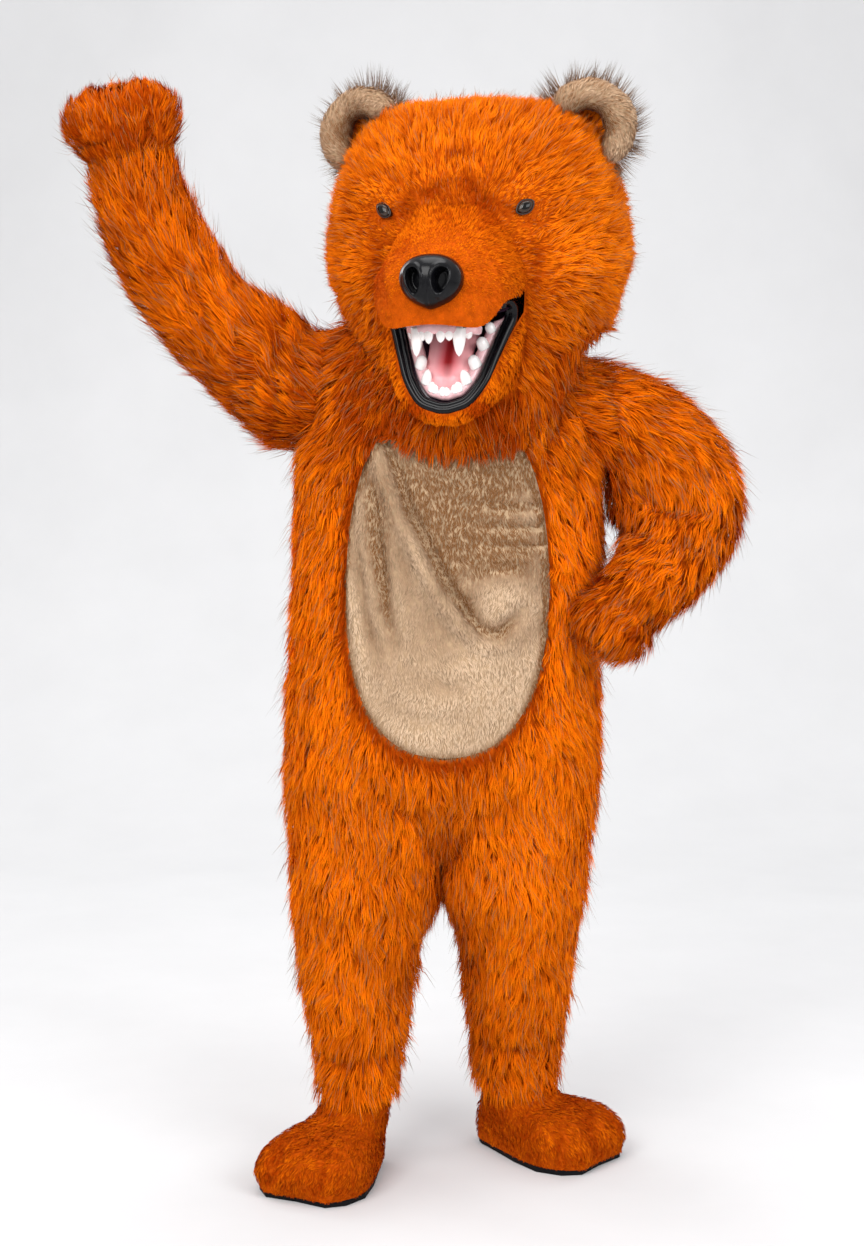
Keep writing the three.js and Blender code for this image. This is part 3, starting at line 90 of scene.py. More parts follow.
def camera():
    data = bpy.data.cameras.new("camera")
    data.lens = CAMERA["lens"]
    data.sensor_width = CAMERA["sensor"]
    data.clip_end = CAMERA["far"]
    eye = placed("camera", data)
    eye.location = CAMERA["at"]
    eye.rotation_euler = (math.radians(90 + CAMERA["pitch"]), 0, 0)
    bpy.context.scene.camera = eye
    bpy.context.scene.view_settings.view_transform = "Standard"


def lights():
    for name, place, aim, size, watts, colour in LIGHTS:
        data = bpy.data.lights.new(name, "AREA")
        data.energy = watts
        data.size = size
        data.color = colour
        lamp = placed(name, data)
        lamp.location = place
        lamp.rotation_euler = (Vector(aim) - Vector(place)).to_track_quat("-Z", "Y").to_euler()
    world = bpy.data.worlds.new("studio")
    world.use_nodes = True
    background = world.node_tree.nodes["Background"]
    background.inputs["Color"].default_value = (*WORLD["colour"], 1)
    background.inputs["Strength"].default_value = WORLD["strength"]
    bpy.context.scene.world = world


def stage():
    s = SWEEP
    bend = [
        (s["bend"] + s["radius"] * math.sin(a), FLOOR_Z + s["radius"] * (1 - math.cos(a)))
        for a in np.linspace(0, math.pi / 2, s["steps"])
    ]
    profile = [(s["front"], FLOOR_Z), *bend, (bend[-1][0], s["top"])]
    verts = [(x, y, z) for y, z in profile for x in (-s["half"], s["half"])]
    faces = [(2 * i, 2 * i + 1, 2 * i + 3, 2 * i + 2) for i in range(len(profile) - 1)]
    sweep = mesh_object("backdrop", verts, faces)
    paint(sweep, plain("paper", (0.635, 0.635, 0.642), 0.9, 0.02, 3))


# ---------------------------------------------------------------- meshes


def mesh_object(name, verts, faces):
    mesh = bpy.data.meshes.new(name)
    mesh.from_pydata([tuple(map(float, v)) for v in verts], [], [tuple(f) for f in faces])
    mesh.validate()
    mesh.shade_smooth()
    return placed(name, mesh)


def grid_faces(rows, columns, around=False, over=False):
    """Quads of a grid of points, closed round its columns (around) or its rows (over)."""
    quads = []
    for i in range(rows if over else rows - 1):
        for j in range(columns if around else columns - 1):
            a, b = i % rows, (i + 1) % rows
            c, d = j % columns, (j + 1) % columns
            quads.append((a * columns + c, a * columns + d, b * columns + d, b * columns + c))
    return quads


def paint(piece, material):
    piece.data.materials.clear()
    piece.data.materials.append(material)


def settle(piece, material, node=None):
    """Paints a piece, says what it rides on, and hides the node that it replaces."""
    paint(piece, MATERIALS[material])
    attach(piece, "root")
    if node:
        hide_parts(node)


def subdivided(piece, levels):
    """The piece's mesh after Catmull-Clark, with the modifier gone."""
    modifier = piece.modifiers.new("smooth", "SUBSURF")
    modifier.levels = levels
    modifier.boundary_smooth = "PRESERVE_CORNERS"
    graph = bpy.context.evaluated_depsgraph_get()
    mesh = bpy.data.meshes.new_from_object(piece.evaluated_get(graph))
    piece.modifiers.clear()
    old = piece.data
    piece.data = mesh
    bpy.data.meshes.remove(old)
    mesh.shade_smooth()
    return piece


def read(items, attribute, width, kind=float):
    """One attribute of all of a mesh's items, a row for each."""
    values = np.empty(len(items) * width, kind)
    items.foreach_get(attribute, values)
    return values.reshape(-1, width)


def points_of(mesh):
    return read(mesh.vertices, "co", 3)


def normals_of(mesh):
    return read(mesh.vertex_normals, "vector", 3)


def move_points(mesh, co):
    mesh.vertices.foreach_set("co", co.ravel())
    mesh.update()


def triangles_of(mesh):
    """A mesh's triangles, as numbers of its points, and the area of each in m2."""
    mesh.calc_loop_triangles()
    tri = read(mesh.loop_triangles, "vertices", 3, int)
    p = points_of(mesh)[tri]
    return tri, 0.5 * np.linalg.norm(np.cross(p[:, 1] - p[:, 0], p[:, 2] - p[:, 0]), axis=1)


def area_of(mesh):
    return round(triangles_of(mesh)[1].sum(), 4)


def smoothstep(value, low, high):
    """0 at low, 1 at high, with a soft start and end."""
    t = np.clip((value - low) / (high - low), 0, 1)
    return t * t * (3 - 2 * t)


def circle(count):
    """Angles evenly round a turn."""
    return np.linspace(0, 2 * math.pi, count, endpoint=False)


def vectors(*parts):
    """Vectors from their parts, each an array or one number for all."""
    return np.stack(np.broadcast_arrays(*parts), axis=-1)


def unit(v):
    """Vectors, or one, at a length of 1."""
    return v / np.maximum(np.linalg.norm(v, axis=-1, keepdims=True), 1e-12)


# ---------------------------------------------------------------- materials

SPECULAR, COAT = "Specular IOR Level", "Coat Weight"


def put(tree, node, inputs):
    """Gives a node's inputs their values, or links them to other nodes' sockets."""
    for key, value in inputs.items():
        if isinstance(value, bpy.types.NodeSocket):
            tree.links.new(value, node.inputs[key])
        else:
            node.inputs[key].default_value = value


def add_node(tree, kind, inputs, **settings):
    node = tree.nodes.new(f"ShaderNode{kind}")
    for key, value in settings.items():
        setattr(node, key, value)
    put(tree, node, inputs)
    return node


def new_material(name):
    material = bpy.data.materials.new(name)
    material.use_nodes = True
    tree = material.node_tree
    return material, tree, tree.nodes["Principled BSDF"]


def ramp(tree, stops, by):
    """Colours by a number: each stop is the number there and the colour's three shares."""
    node = add_node(tree, "ValToRGB", {"Fac": by})
    elements = node.color_ramp.elements
    while len(elements) < len(stops):
        elements.new(0.5)
    for element, (place, *colour) in zip(elements, stops):
        element.position = place
        element.color = (*colour, 1)
    return node.outputs["Color"]


def maths(tree, operation, a, b=0.5, clamp=False):
    return add_node(tree, "Math", {0: a, 1: b}, operation=operation, use_clamp=clamp).outputs[0]


def mixed(tree, factor, a, b, blend="MIX"):
    """Two colours mixed by a factor, a socket or a plain number."""
    inputs = {"Factor": factor, "A": a, "B": b}
    return add_node(tree, "Mix", inputs, data_type="RGBA", blend_type=blend).outputs["Result"]


def map_number(tree, axis):
    """One number of the piece's own map."""
    spot = add_node(tree, "UVMap", {}, uv_map="OFBake").outputs["UV"]
    return add_node(tree, "SeparateXYZ", {"Vector": spot}).outputs[axis]


def noise(tree, scale, detail=4, rough=0.6, stretch=None):
    """Noise over the object's own points, so that it stays with the piece."""
    place = add_node(tree, "TexCoord", {}).outputs["Object"]
    if stretch:
        place = add_node(tree, "Mapping", {"Vector": place, "Scale": stretch}).outputs["Vector"]
    inputs = {"Vector": place, "Scale": scale, "Detail": detail, "Roughness": rough}
    return add_node(tree, "TexNoise", inputs).outputs["Fac"]


def bump(tree, height, strength, distance):
    """Relief of a surface, by a height and how many metres it stands for."""
    inputs = {"Height": height, "Strength": strength, "Distance": distance}
    return add_node(tree, "Bump", inputs).outputs["Normal"]


MOTTLE_BAND = (0.3, 0.7)  # the noise from a surface's darker shade to its lighter one


def plain(name, colour, roughness, mottle, scale, grain=None, sockets=None):
    """A mottled surface: two shades of a colour mixed by noise of a scale, and a fine grain in
    relief, given as its scale, strength and depth in m."""
    material, tree, shader = new_material(name)
    low = [c * (1 - mottle) for c in colour]
    high = [min(c * (1 + mottle), 1) for c in colour]
    stops = [(MOTTLE_BAND[0], *low), (MOTTLE_BAND[1], *high)]
    colours = ramp(tree, stops, noise(tree, scale))
    put(tree, shader, {"Base Color": colours, "Roughness": roughness, **(sockets or {})})
    if grain:
        put(tree, shader, {"Normal": bump(tree, noise(tree, grain[0], 6, 0.7), *grain[1:])})
    return material


TIP_TONE = 0.9  # tones past this are the dark-tipped guard hairs
TONE_GAIN = 1.15  # how much stronger a tone is than its number


def pile_material(name, dark, light, guard, roughness=0.9, sheen=0.0):
    """Fur: each blade's tone is the map's first number, and root to tip its second."""
    material, tree, shader = new_material(name)
    tone = maths(tree, "MULTIPLY", map_number(tree, "X"), TONE_GAIN, clamp=True)
    is_guard = maths(tree, "GREATER_THAN", map_number(tree, "X"), TIP_TONE)
    low, high, tip = (ramp(tree, stops, map_number(tree, "Y")) for stops in (dark, light, guard))
    shade = mixed(tree, is_guard, mixed(tree, tone, low, high), tip)
    put(tree, shader, {"Base Color": shade, "Roughness": roughness, SPECULAR: 0.01,
                       "Sheen Weight": sheen, "Sheen Roughness": 0.5})
    return material


# A pile's colours from root to tip at its dark and its light tone, and on its guard hairs. The dark
# and light colours are darker towards the root, painted shade deep in the pile. Each blade's tone
# between them is its own, spread at random, with painted shade and painted light from folds and
# patches.
ORANGE = {
    "dark": [(0, 0.22, 0.019, 0.0005), (0.45, 0.32, 0.033, 0.0007), (1, 0.43, 0.052, 0.001)],
    "light": [(0, 0.70, 0.098, 0.001), (0.45, 0.96, 0.176, 0.002), (1, 1.0, 0.258, 0.004)],
    "guard": [
        (0, 0.46, 0.07, 0.002), (0.4, 0.50, 0.11, 0.010), (0.75, 0.19, 0.11, 0.055),
        (1, 0.17, 0.12, 0.085),
    ],
}
HEAD_ORANGE = {
    **ORANGE,
    "light": [(0, 0.70, 0.104, 0.001), (0.45, 0.94, 0.186, 0.003), (1, 1.0, 0.276, 0.006)],
}
BRIGHT = {
    "dark": [(0, 0.23, 0.020, 0.0005), (0.45, 0.34, 0.034, 0.0006), (1, 0.44, 0.052, 0.001)],
    "light": [(0, 0.64, 0.104, 0.001), (0.45, 0.88, 0.180, 0.002), (1, 0.98, 0.262, 0.005)],
    "guard": [(0, 0.40, 0.05, 0.002), (0.55, 0.60, 0.10, 0.006), (1, 0.35, 0.10, 0.03)],
}
TAN = {
    "dark": [(0, 0.15, 0.058, 0.018), (0.5, 0.22, 0.094, 0.033), (1, 0.28, 0.130, 0.052)],
    "light": [(0, 0.66, 0.465, 0.300), (0.5, 0.71, 0.510, 0.340), (1, 0.75, 0.56, 0.385)],
    "guard": [(0, 0.24, 0.10, 0.04), (0.4, 0.26, 0.16, 0.10), (1, 0.20, 0.16, 0.13)],
}


def tongue_material():
    """Pink, with painted shade, dark red, down the groove in its middle, fading towards the tip."""
    material, tree, shader = new_material("tongue")
    across = maths(tree, "SUBTRACT", map_number(tree, "X"), 0.5)
    # Painted shade: dark red in the middle of the groove, fading out to pink across it.
    groove = ramp(tree, [(0, 0.30, 0.008, 0.010), (0.06, 0.40, 0.020, 0.024),
                         (0.14, 0.72, 0.15, 0.17), (0.30, 0.94, 0.42, 0.44)],
                  maths(tree, "ABSOLUTE", across))
    pink = ramp(tree, [(0.3, 0.92, 0.40, 0.43), (0.7, 0.96, 0.48, 0.50)], noise(tree, 60))
    fade = ramp(tree, [(0.68, 0, 0, 0), (1, 1, 1, 1)], map_number(tree, "Y"))
    put(tree, shader, {"Base Color": mixed(tree, fade, groove, pink), "Roughness": 0.42,
                       COAT: 0.25, "Normal": bump(tree, noise(tree, 480, 5, 0.7), 0.35, 0.0006)})
    return material


def eye_material():
    """A pupil, a brown iris with a dark edge and a dark rim, by how far out on the lens."""
    material, tree, shader = new_material("eye")
    rings = ramp(tree, [(0, 0.002, 0.002, 0.002), (0.46, 0.003, 0.002, 0.002),
                        (0.56, 0.030, 0.020, 0.015), (0.74, 0.052, 0.036, 0.027),
                        (0.86, 0.016, 0.010, 0.008), (0.94, 0.002, 0.002, 0.002)],
                 map_number(tree, "Y"))
    flecks = ramp(tree, [(0.35, 0.6, 0.6, 0.6), (0.65, 1.25, 1.15, 1.1)],
                  noise(tree, 420, stretch=(1, 1, 3)))
    put(tree, shader, {"Base Color": mixed(tree, 1, rings, flecks, "MULTIPLY"),
                       "Roughness": 0.05, SPECULAR: 0.3})
    return material


CLOTH_GRAIN = (900, 0.5, 0.001)
MATERIALS = {
    "long_fur": pile_material("long_fur", **ORANGE),
    "head_fur": pile_material("head_fur", **HEAD_ORANGE),
    "short_fur": pile_material("short_fur", **BRIGHT, roughness=0.95),
    "tan_plush": pile_material("tan_plush", **TAN, roughness=0.85, sheen=0.03),
    "tongue": tongue_material(),
    "eye": eye_material(),
}
for row in (  # name, colour, roughness, mottle and its scale, grain, and what else the shader takes
    ("fur_backing", (0.44, 0.066, 0.002), 0.85, 0.3, 60, CLOTH_GRAIN, {SPECULAR: 0.02}),
    ("tan_backing", (0.40, 0.270, 0.160), 0.85, 0.25, 60, CLOTH_GRAIN, {SPECULAR: 0.05}),
    ("sole", (0.005, 0.005, 0.006), 0.7, 0.3, 40, (420, 0.4, 0.0006), {SPECULAR: 0.1}),
    ("black_gloss", (0.003, 0.003, 0.004), 0.2, 0.3, 60, (230, 0.08, 0.0006), {SPECULAR: 0.2}),
    ("lid", (0.020, 0.010, 0.006), 0.5, 0.3, 90, (500, 0.3, 0.0005)),
    ("gum", (0.86, 0.50, 0.52), 0.25, 0.2, 55, (160, 0.12, 0.0008), {COAT: 0.5}),
    ("tooth", (0.93, 0.88, 0.86), 0.25, 0.05, 50, (120, 0.06, 0.0006), {COAT: 0.4}),
    ("lining", (0.050, 0.016, 0.040), 0.35, 0.35, 25, (90, 0.3, 0.001), {COAT: 0.3}),
):
    MATERIALS[row[0]] = plain(*row)

# ---------------------------------------------------------------- the head's own frame

HEAD_AT = {"x": 60, "y": -8, "turn": math.radians(-14)}
SHOULDER_H = 1430


def head_at(p):
    """Points of the head's frame, in mm with the height from the soles, in the part's frame."""
    p = np.asarray(p, float)
    c, s = math.cos(HEAD_AT["turn"]), math.sin(HEAD_AT["turn"])
    x = HEAD_AT["x"] + p[..., 0] * c - p[..., 1] * s
    y = HEAD_AT["y"] + p[..., 0] * s + p[..., 1] * c
    return vectors(x, y, p[..., 2] - SHOULDER_H) * MM


def head_local(p):
    """The other way round: points of the part's frame in the head's."""
    p = np.asarray(p, float) / MM
    c, s = math.cos(HEAD_AT["turn"]), math.sin(HEAD_AT["turn"])
    x, y = p[..., 0] - HEAD_AT["x"], p[..., 1] - HEAD_AT["y"]
    return vectors(x * c + y * s, y * c - x * s, p[..., 2] + SHOULDER_H)


# ---------------------------------------------------------------- cloth shells

SHARP_CORNER = math.radians(38)
WELD = 0.02 * MM
FLAT_ENOUGH = {"angle_face_threshold": 1.2, "angle_shape_threshold": 1.4}  # to join into quads


def outer_skin(node, wall, inner=False):
    """One side of a cloth node's wall as an open mesh: the faces of its rim are those with an
    edge as long as the wall is thick, and the outside is the larger of the two that they part."""
    bm = bmesh.new()
    bm.from_mesh(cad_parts[node].data)
    bmesh.ops.remove_doubles(bm, verts=bm.verts, dist=WELD)
    loose = {f for f in bm.faces if all(abs(e.calc_length() - wall * MM) > WELD for e in f.edges)}
    sheets = []
    while loose:
        first = min(loose, key=lambda f: f.index)
        loose.discard(first)
        sheet, queue = [first], [first]
        while queue:
            face = queue.pop()
            for edge in face.edges:
                for other in edge.link_faces:
                    if other in loose:
                        loose.discard(other)
                        sheet.append(other)
                        queue.append(other)
        sheets.append(sheet)
    sheets.sort(key=lambda faces: -sum(f.calc_area() for f in faces))
    kept = set(sheets[1 if inner else 0])
    bmesh.ops.delete(bm, geom=[f for f in bm.faces if f not in kept], context="FACES")
    bmesh.ops.join_triangles(bm, faces=bm.faces, **FLAT_ENOUGH)
    sharp = bm.verts.layers.float.new("crease_vert")
    for vert in bm.verts:
        rim = [e.other_vert(vert).co - vert.co for e in vert.link_edges if e.is_boundary]
        if len(rim) == 2 and rim[0].angle(-rim[1], 0) > SHARP_CORNER:
            vert[sharp] = 1
    mesh = bpy.data.meshes.new(node)
    bm.to_mesh(mesh)
    bm.free()
    return placed(f"{node}_cloth", mesh)


def fold(wide, *line, lip=0.35, roll=0, back=False):
    """A fold through (x, z, depth) in mm as seen from in front, where z is from the shoulders and
    a depth under 0 is a ridge. wide is half its width in mm. lip is how high the cloth stands on
    both sides of it, and roll how far it bulges over one, as shares of its depth."""
    return dict(wide=wide, line=line, lip=lip, roll=roll, back=back)


LIP_AT = 1.9  # where a fold's lips stand, in half widths from its middle


def relief(co, normals, folds):
    """How far soft folds lift each point, in mm."""
    rise = np.zeros(len(co))
    spot = co[:, [0, 2]] / MM
    facing = smoothstep(-normals[:, 1], 0.0, 0.3)
    behind = smoothstep(normals[:, 1], 0.0, 0.3)
    for f in folds:
        line = np.array(f["line"], float)
        best = np.full(len(co), np.inf)
        side, deep = np.zeros(len(co)), np.zeros(len(co))
        for a, b in zip(line, line[1:]):
            run = b[:2] - a[:2]
            off = spot - a[:2]
            t = np.clip(off @ run / max(run @ run, 1e-9), 0, 1)
            gap = off - t[:, None] * run
            away = np.linalg.norm(gap, axis=1)
            closer = away < best
            turn = np.sign(run[0] * gap[:, 1] - run[1] * gap[:, 0])
            best = np.where(closer, away, best)
            side = np.where(closer, turn, side)
            deep = np.where(closer, a[2] + t * (b[2] - a[2]), deep)
        across = best * side / f["wide"]
        shape = -np.exp(-(across**2))
        shape += f["lip"] * np.exp(-((np.abs(across) - LIP_AT) ** 2) / 0.8)
        shape += f["roll"] * np.exp(-((across + LIP_AT) ** 2) / 1.6)
        rise += deep * shape * (behind if f["back"] else facing)
    return rise


BELLY_SEAM = {"z": -380, "above": 327, "below": 280, "half": 170, "power": 2.4}
SEAM_SHADOW_WIDE, SEAM_CROP_WIDE = 0.038, 0.07  # shares of the belly over which a shadow is painted along its seam, and over which the pile is short
SEAM_PAINTED_SHADOW, SEAM_CROP = 0.9, 0.45  # how much darker the painted shadow makes the pile there, and how much shorter the pile is


def seam_share(co, wide):
    """1 along the seam round the belly, falling to 0 away from it."""
    b = BELLY_SEAM
    up = co[:, 2] / MM - b["z"]
    tall = np.where(up > 0, b["above"], b["below"])
    across = np.abs(co[:, 0] / MM / b["half"]) ** b["power"] + np.abs(up / tall) ** b["power"]
    return np.exp(-(((across ** (1 / b["power"]) - 1) / wide) ** 2))


def patch_share(co, x, z, wide, tall):
    """1 in the middle of a soft patch in mm, falling to 0 away from it."""
    return np.exp(-(((co[:, 0] / MM - x) / wide) ** 2 + ((co[:, 2] / MM - z) / tall) ** 2))


def painted_darkening(co, patches):
    """How much painted shade darkens the pile at each point: a painted shadow along the belly's
    seam in front, and soft patches at (x, z) with a reach in mm, which paint light where their
    amount is under 0.
    """
    painted_dark = SEAM_PAINTED_SHADOW * seam_share(co, SEAM_SHADOW_WIDE) * (co[:, 1] < 0)
    for *patch, by in patches:
        painted_dark += by * patch_share(co, *patch)
    return painted_dark


# ---------------------------------------------------------------- fur lay

ARM_LINES = {  # the middle of each sleeve, from the shoulder to the fingertips
    "left": [
        (-254, 2, 1400), (-287, 0, 1424), (-325, -2, 1453), (-370, -5, 1487), (-419, -9, 1533),
        (-458, -14, 1585), (-488, -20, 1640), (-510, -27, 1690), (-527, -34, 1736),
        (-538, -40, 1774), (-556, -60, 1900),
    ],
    "right": [
        (258, 2, 1366), (300, 2, 1346), (342, 1, 1316), (382, -2, 1276), (410, -9, 1226),
        (416, -22, 1176), (404, -45, 1132), (378, -74, 1094), (349, -101, 1064),
        (320, -124, 1040), (280, -150, 990),
    ],
}
ARM_REACH = 0.05  # m, how near a stretch of that line has to be to lead the fur
SHOULDERS = {"z": (-0.30, -0.02), "x": (0.11, 0.25), "out": 0.9}  # m, where fur turns outward
NOSE_TIP = head_at((0, -340, 1570))
HEAD_BACK, HEAD_LOW = (-20, 150), (-1640, -1480)  # mm, where the face's lay gives way to a fall
TOES_OUT = (27, 51)  # degrees, the left foot and the right


def lay_suit(p):
    """Down the body and legs, and out over the shoulders."""
    s = SHOULDERS
    outward = smoothstep(p[:, 2], *s["z"]) * smoothstep(np.abs(p[:, 0]), *s["x"])
    x = 0.35 * p[:, 0] + s["out"] * outward * np.sign(p[:, 0])
    return vectors(x, 0, -1 + 0.35 * outward * np.where(p[:, 0] < 0, 1.4, 0.2))


def lay_arm(side):
    """Along the arm, from the shoulder to the fingertips."""
    line = (np.array(ARM_LINES[side], float) - (0, 0, SHOULDER_H)) * MM

    def lay(p):
        way = np.zeros_like(p)
        for a, b in zip(line, line[1:]):
            off = np.linalg.norm(p - (a + b) / 2, axis=1)
            near = np.exp(-(off**2) / (2 * ARM_REACH**2)) + 1e-9
            way += near[:, None] * unit(b - a)
        return way

    return lay


def lay_head(p):
    """Away from the nose over the face, and down at the back."""
    local = head_local(p)
    back = smoothstep(local[:, 1], *HEAD_BACK)[:, None]
    low = smoothstep(-local[:, 2], *HEAD_LOW)[:, None] * 0.7
    way = unit(p - NOSE_TIP)
    return way * (1 - 0.75 * back) + np.array([0, 0, -1.0]) * np.maximum(back * 0.9, low)


def lay_mane(p):
    """Out from the neck to both sides, and down."""
    return vectors(1.4 * (p[:, 0] - 0.03), 0, -0.55)


def lay_foot(p):
    """Forward over the toes and down the sides."""
    side = np.where(p[:, 0] < 0, LEFT, RIGHT)
    turn = np.radians(np.where(p[:, 0] < 0, *TOES_OUT))
    return vectors(side * np.sin(turn) * 0.9, -np.cos(turn) * 0.9, -0.8)


def lay_down(p):
    """Down the belly, swaying a little."""
    return vectors(0.1 * np.sin(p[:, 2] * 23), 0, -1)


def ripple(p, seed, wave):
    """Smooth noise from a few sines, about -1 to 1."""
    rng = np.random.default_rng(seed)
    total = np.zeros(len(p))
    for _ in range(5):
        way = unit(rng.normal(size=3)) * 2 * math.pi / (wave * rng.uniform(0.7, 1.6))
        total += np.sin(p @ way + rng.uniform(0, 2 * math.pi))
    return total / 3.2


# ---------------------------------------------------------------- fur

BLADE_BEND = 0.45  # share of a blade's length at its bend
# How blades differ, in degrees and in shares of their length and width.
LOCK = {"yaw": 11, "rise": 4, "long": (0.72, 1.12)}
TUFT = {"locks": 7, "yaw": 12}
BLADE = {"yaw": 7, "rise": 5, "long": (0.75, 1.1), "wide": (0.75, 1.25), "roll": 24}
GUARD = {"rise": (6, 36), "long": (0.95, 1.45), "wide": 0.65, "pull": 0.5, "tone": 0.96}
WAVES = {"yaw": 0.16, "rise": 0.07, "tone": 0.09}  # m, the run of the ripples in each


def grow(name, skin, lay, material, slot, density, long, wide, rise=40, lean=12, lock=9, pull=0.5,
         swirl=12, guard=0.045, scale=None, shade=None, tone=(0.6, 0.16), grain=0.12, seed=1,
         turned=1):
    """Fur over a skin: blades of two triangles, bent over along the lay and drawn together in
    locks, each with a tone of its own.

    density is in blades a m2, long and wide in mm. rise and lean are a blade's slopes below and
    above its bend, and swirl how far the lay wanders, in degrees. lock is the blades in a lock,
    pull how close they are drawn, and guard the share of guard hairs. tone is the mean and the
    spread between locks, and grain the spread within them. scale gives the share of the length at
    points, and shade how much painted shade darkens the pile there; where it is under 0, painted
    light lightens it. turned is -1 for the skin's other side."""
    rng = np.random.default_rng(seed)
    tri, area = triangles_of(skin.data)
    co, normal = points_of(skin.data), normals_of(skin.data) * turned
    count = int(area.sum() * density)
    picked = np.sort(rng.choice(len(tri), count, p=area / area.sum()))
    weight = rng.dirichlet((1, 1, 1), count)[:, :, None]

    def at_roots(values):
        return (values[tri[picked]] * weight).sum(1)

    root, up = at_roots(co), unit(at_roots(normal))
    size = at_roots(scale(co)[:, None])[:, 0] if scale else np.ones(count)
    # painted shade at each blade's root
    painted_dark = at_roots(shade(co)[:, None])[:, 0] if shade else np.zeros(count)
    along = lay(root)
    along = unit(along - (along * up).sum(1, keepdims=True) * up)
    across = np.cross(up, along)

    def some(points, group):
        return np.sort(rng.choice(points, max(points // group, 1), replace=False))

    locks = some(count, lock)
    tufts = locks[some(len(locks), TUFT["locks"])]
    member, tuft = nearest(root[locks], root), nearest(root[tufts], root)
    lock_yaw, lock_rise = (rng.normal(0, LOCK[k], len(locks)) for k in ("yaw", "rise"))
    lock_long, lock_tone = rng.uniform(*LOCK["long"], len(locks)), rng.normal(0, 1, len(locks))
    tuft_yaw, tuft_tone = (rng.normal(0, by, len(tufts)) for by in (TUFT["yaw"], 1))

    yaw = lock_yaw[member] + tuft_yaw[tuft] + swirl * ripple(root, seed, WAVES["yaw"])
    lift = lock_rise[member] + 5 * ripple(root, seed + 1, WAVES["rise"])
    length = long * MM * size * lock_long[member]

    def ends(yaw, lift, length, i):
        """Where blades of the roots i bend and end."""
        turn, length = np.radians(yaw)[:, None], length[:, None]
        way = np.cos(turn) * along[i] + np.sin(turn) * across[i]
        first, last = np.radians(rise + lift)[:, None], np.radians(lean + 0.8 * lift)[:, None]
        bend = root[i] + length * BLADE_BEND * (np.cos(first) * way + np.sin(first) * up[i])
        tip = bend + length * (1 - BLADE_BEND) * (np.cos(last) * way + np.sin(last) * up[i])
        return bend, tip

    lock_bend, lock_tip = ends(yaw[locks], lift[locks], length[locks], locks)
    is_guard = rng.random(count) < guard
    own, stray = (
        np.where(is_guard, rng.uniform(*GUARD["long"], count), rng.uniform(*BLADE["long"], count)),
        np.where(is_guard, rng.uniform(*GUARD["rise"], count), rng.normal(0, BLADE["rise"], count)),
    )
    bend, tip = ends(yaw + rng.normal(0, BLADE["yaw"], count), lift + stray, length * own,
                     np.arange(count))
    drawn = pull * rng.uniform(0.55, 1.1, count) * np.where(is_guard, GUARD["pull"], 1)
    tip += drawn[:, None] * (lock_tip[member] - tip) * 0.9
    bend += 0.45 * drawn[:, None] * (lock_bend[member] - bend)
    for p in (bend, tip):
        np.clip(p, FUR_LOW, FUR_HIGH, out=p)

    axis = unit(tip - root)
    flat = unit(np.cross(axis, up))
    roll = np.radians(rng.normal(0, BLADE["roll"], count))[:, None]
    width = np.cos(roll) * flat + np.sin(roll) * np.cross(axis, flat)
    half = 0.5 * wide * MM * rng.uniform(*BLADE["wide"], count)
    half = (half * np.where(is_guard, GUARD["wide"], 1))[:, None]
    points = np.stack([root, bend - width * half, bend + width * half, tip], axis=1)
    facing = unit(np.cross(width, axis))
    facing *= np.sign((facing * up).sum(1, keepdims=True))
    shading = unit(0.75 * up + 0.25 * facing)

    hue = tone[0] + tone[1] * (0.46 * lock_tone[member] + 0.4 * tuft_tone[tuft])
    # Painted shade darkens a blade's tone, and painted light lightens it where the amount is under
    # 0.
    hue += grain * rng.normal(0, 1, count) + 0.10 * ripple(root, seed + 2, WAVES["tone"]) - painted_dark
    hue = np.where(is_guard, GUARD["tone"], np.clip(hue, 0.02, TIP_TONE - 0.04))
    pile = blades(f"{name}_pile", points, shading, hue)
    settle(pile, material)
    return pile


def nearest(centres, points):
    """The number of the nearest centre to each point."""
    tree = kdtree.KDTree(len(centres))
    for i, centre in enumerate(centres):
        tree.insert(centre, i)
    tree.balance()
    find = tree.find
    return np.array([find(p)[1] for p in points])


def blades(name, points, shading, hue):
    """One mesh of kites: root, the two sides of the bend, tip."""
    n = len(points)
    mesh = bpy.data.meshes.new(name)
    mesh.vertices.add(4 * n)
    mesh.vertices.foreach_set("co", points.ravel())
    corners = (4 * np.arange(n)[:, None] + np.array([0, 2, 1, 1, 2, 3])).ravel()
    mesh.loops.add(6 * n)
    mesh.loops.foreach_set("vertex_index", corners)
    mesh.polygons.add(2 * n)
    mesh.polygons.foreach_set("loop_start", 3 * np.arange(2 * n))
    mesh.polygons.foreach_set("loop_total", np.full(2 * n, 3))
    mesh.update(calc_edges=True)
    mesh.shade_smooth()
    u = hue[:, None] + np.array([0, -0.003, 0.003, 0])
    v = np.tile([0.0, BLADE_BEND, BLADE_BEND, 1.0], (n, 1))
    spots = np.stack([u, v], axis=-1).reshape(-1, 2)[corners]
    mesh.uv_layers.new(name="OFBake").data.foreach_set("uv", spots.ravel())
    mesh.normals_split_custom_set_from_vertices(np.repeat(shading, 4, axis=0))
    return placed(name, mesh)


# ---------------------------------------------------------------- the cloth pieces

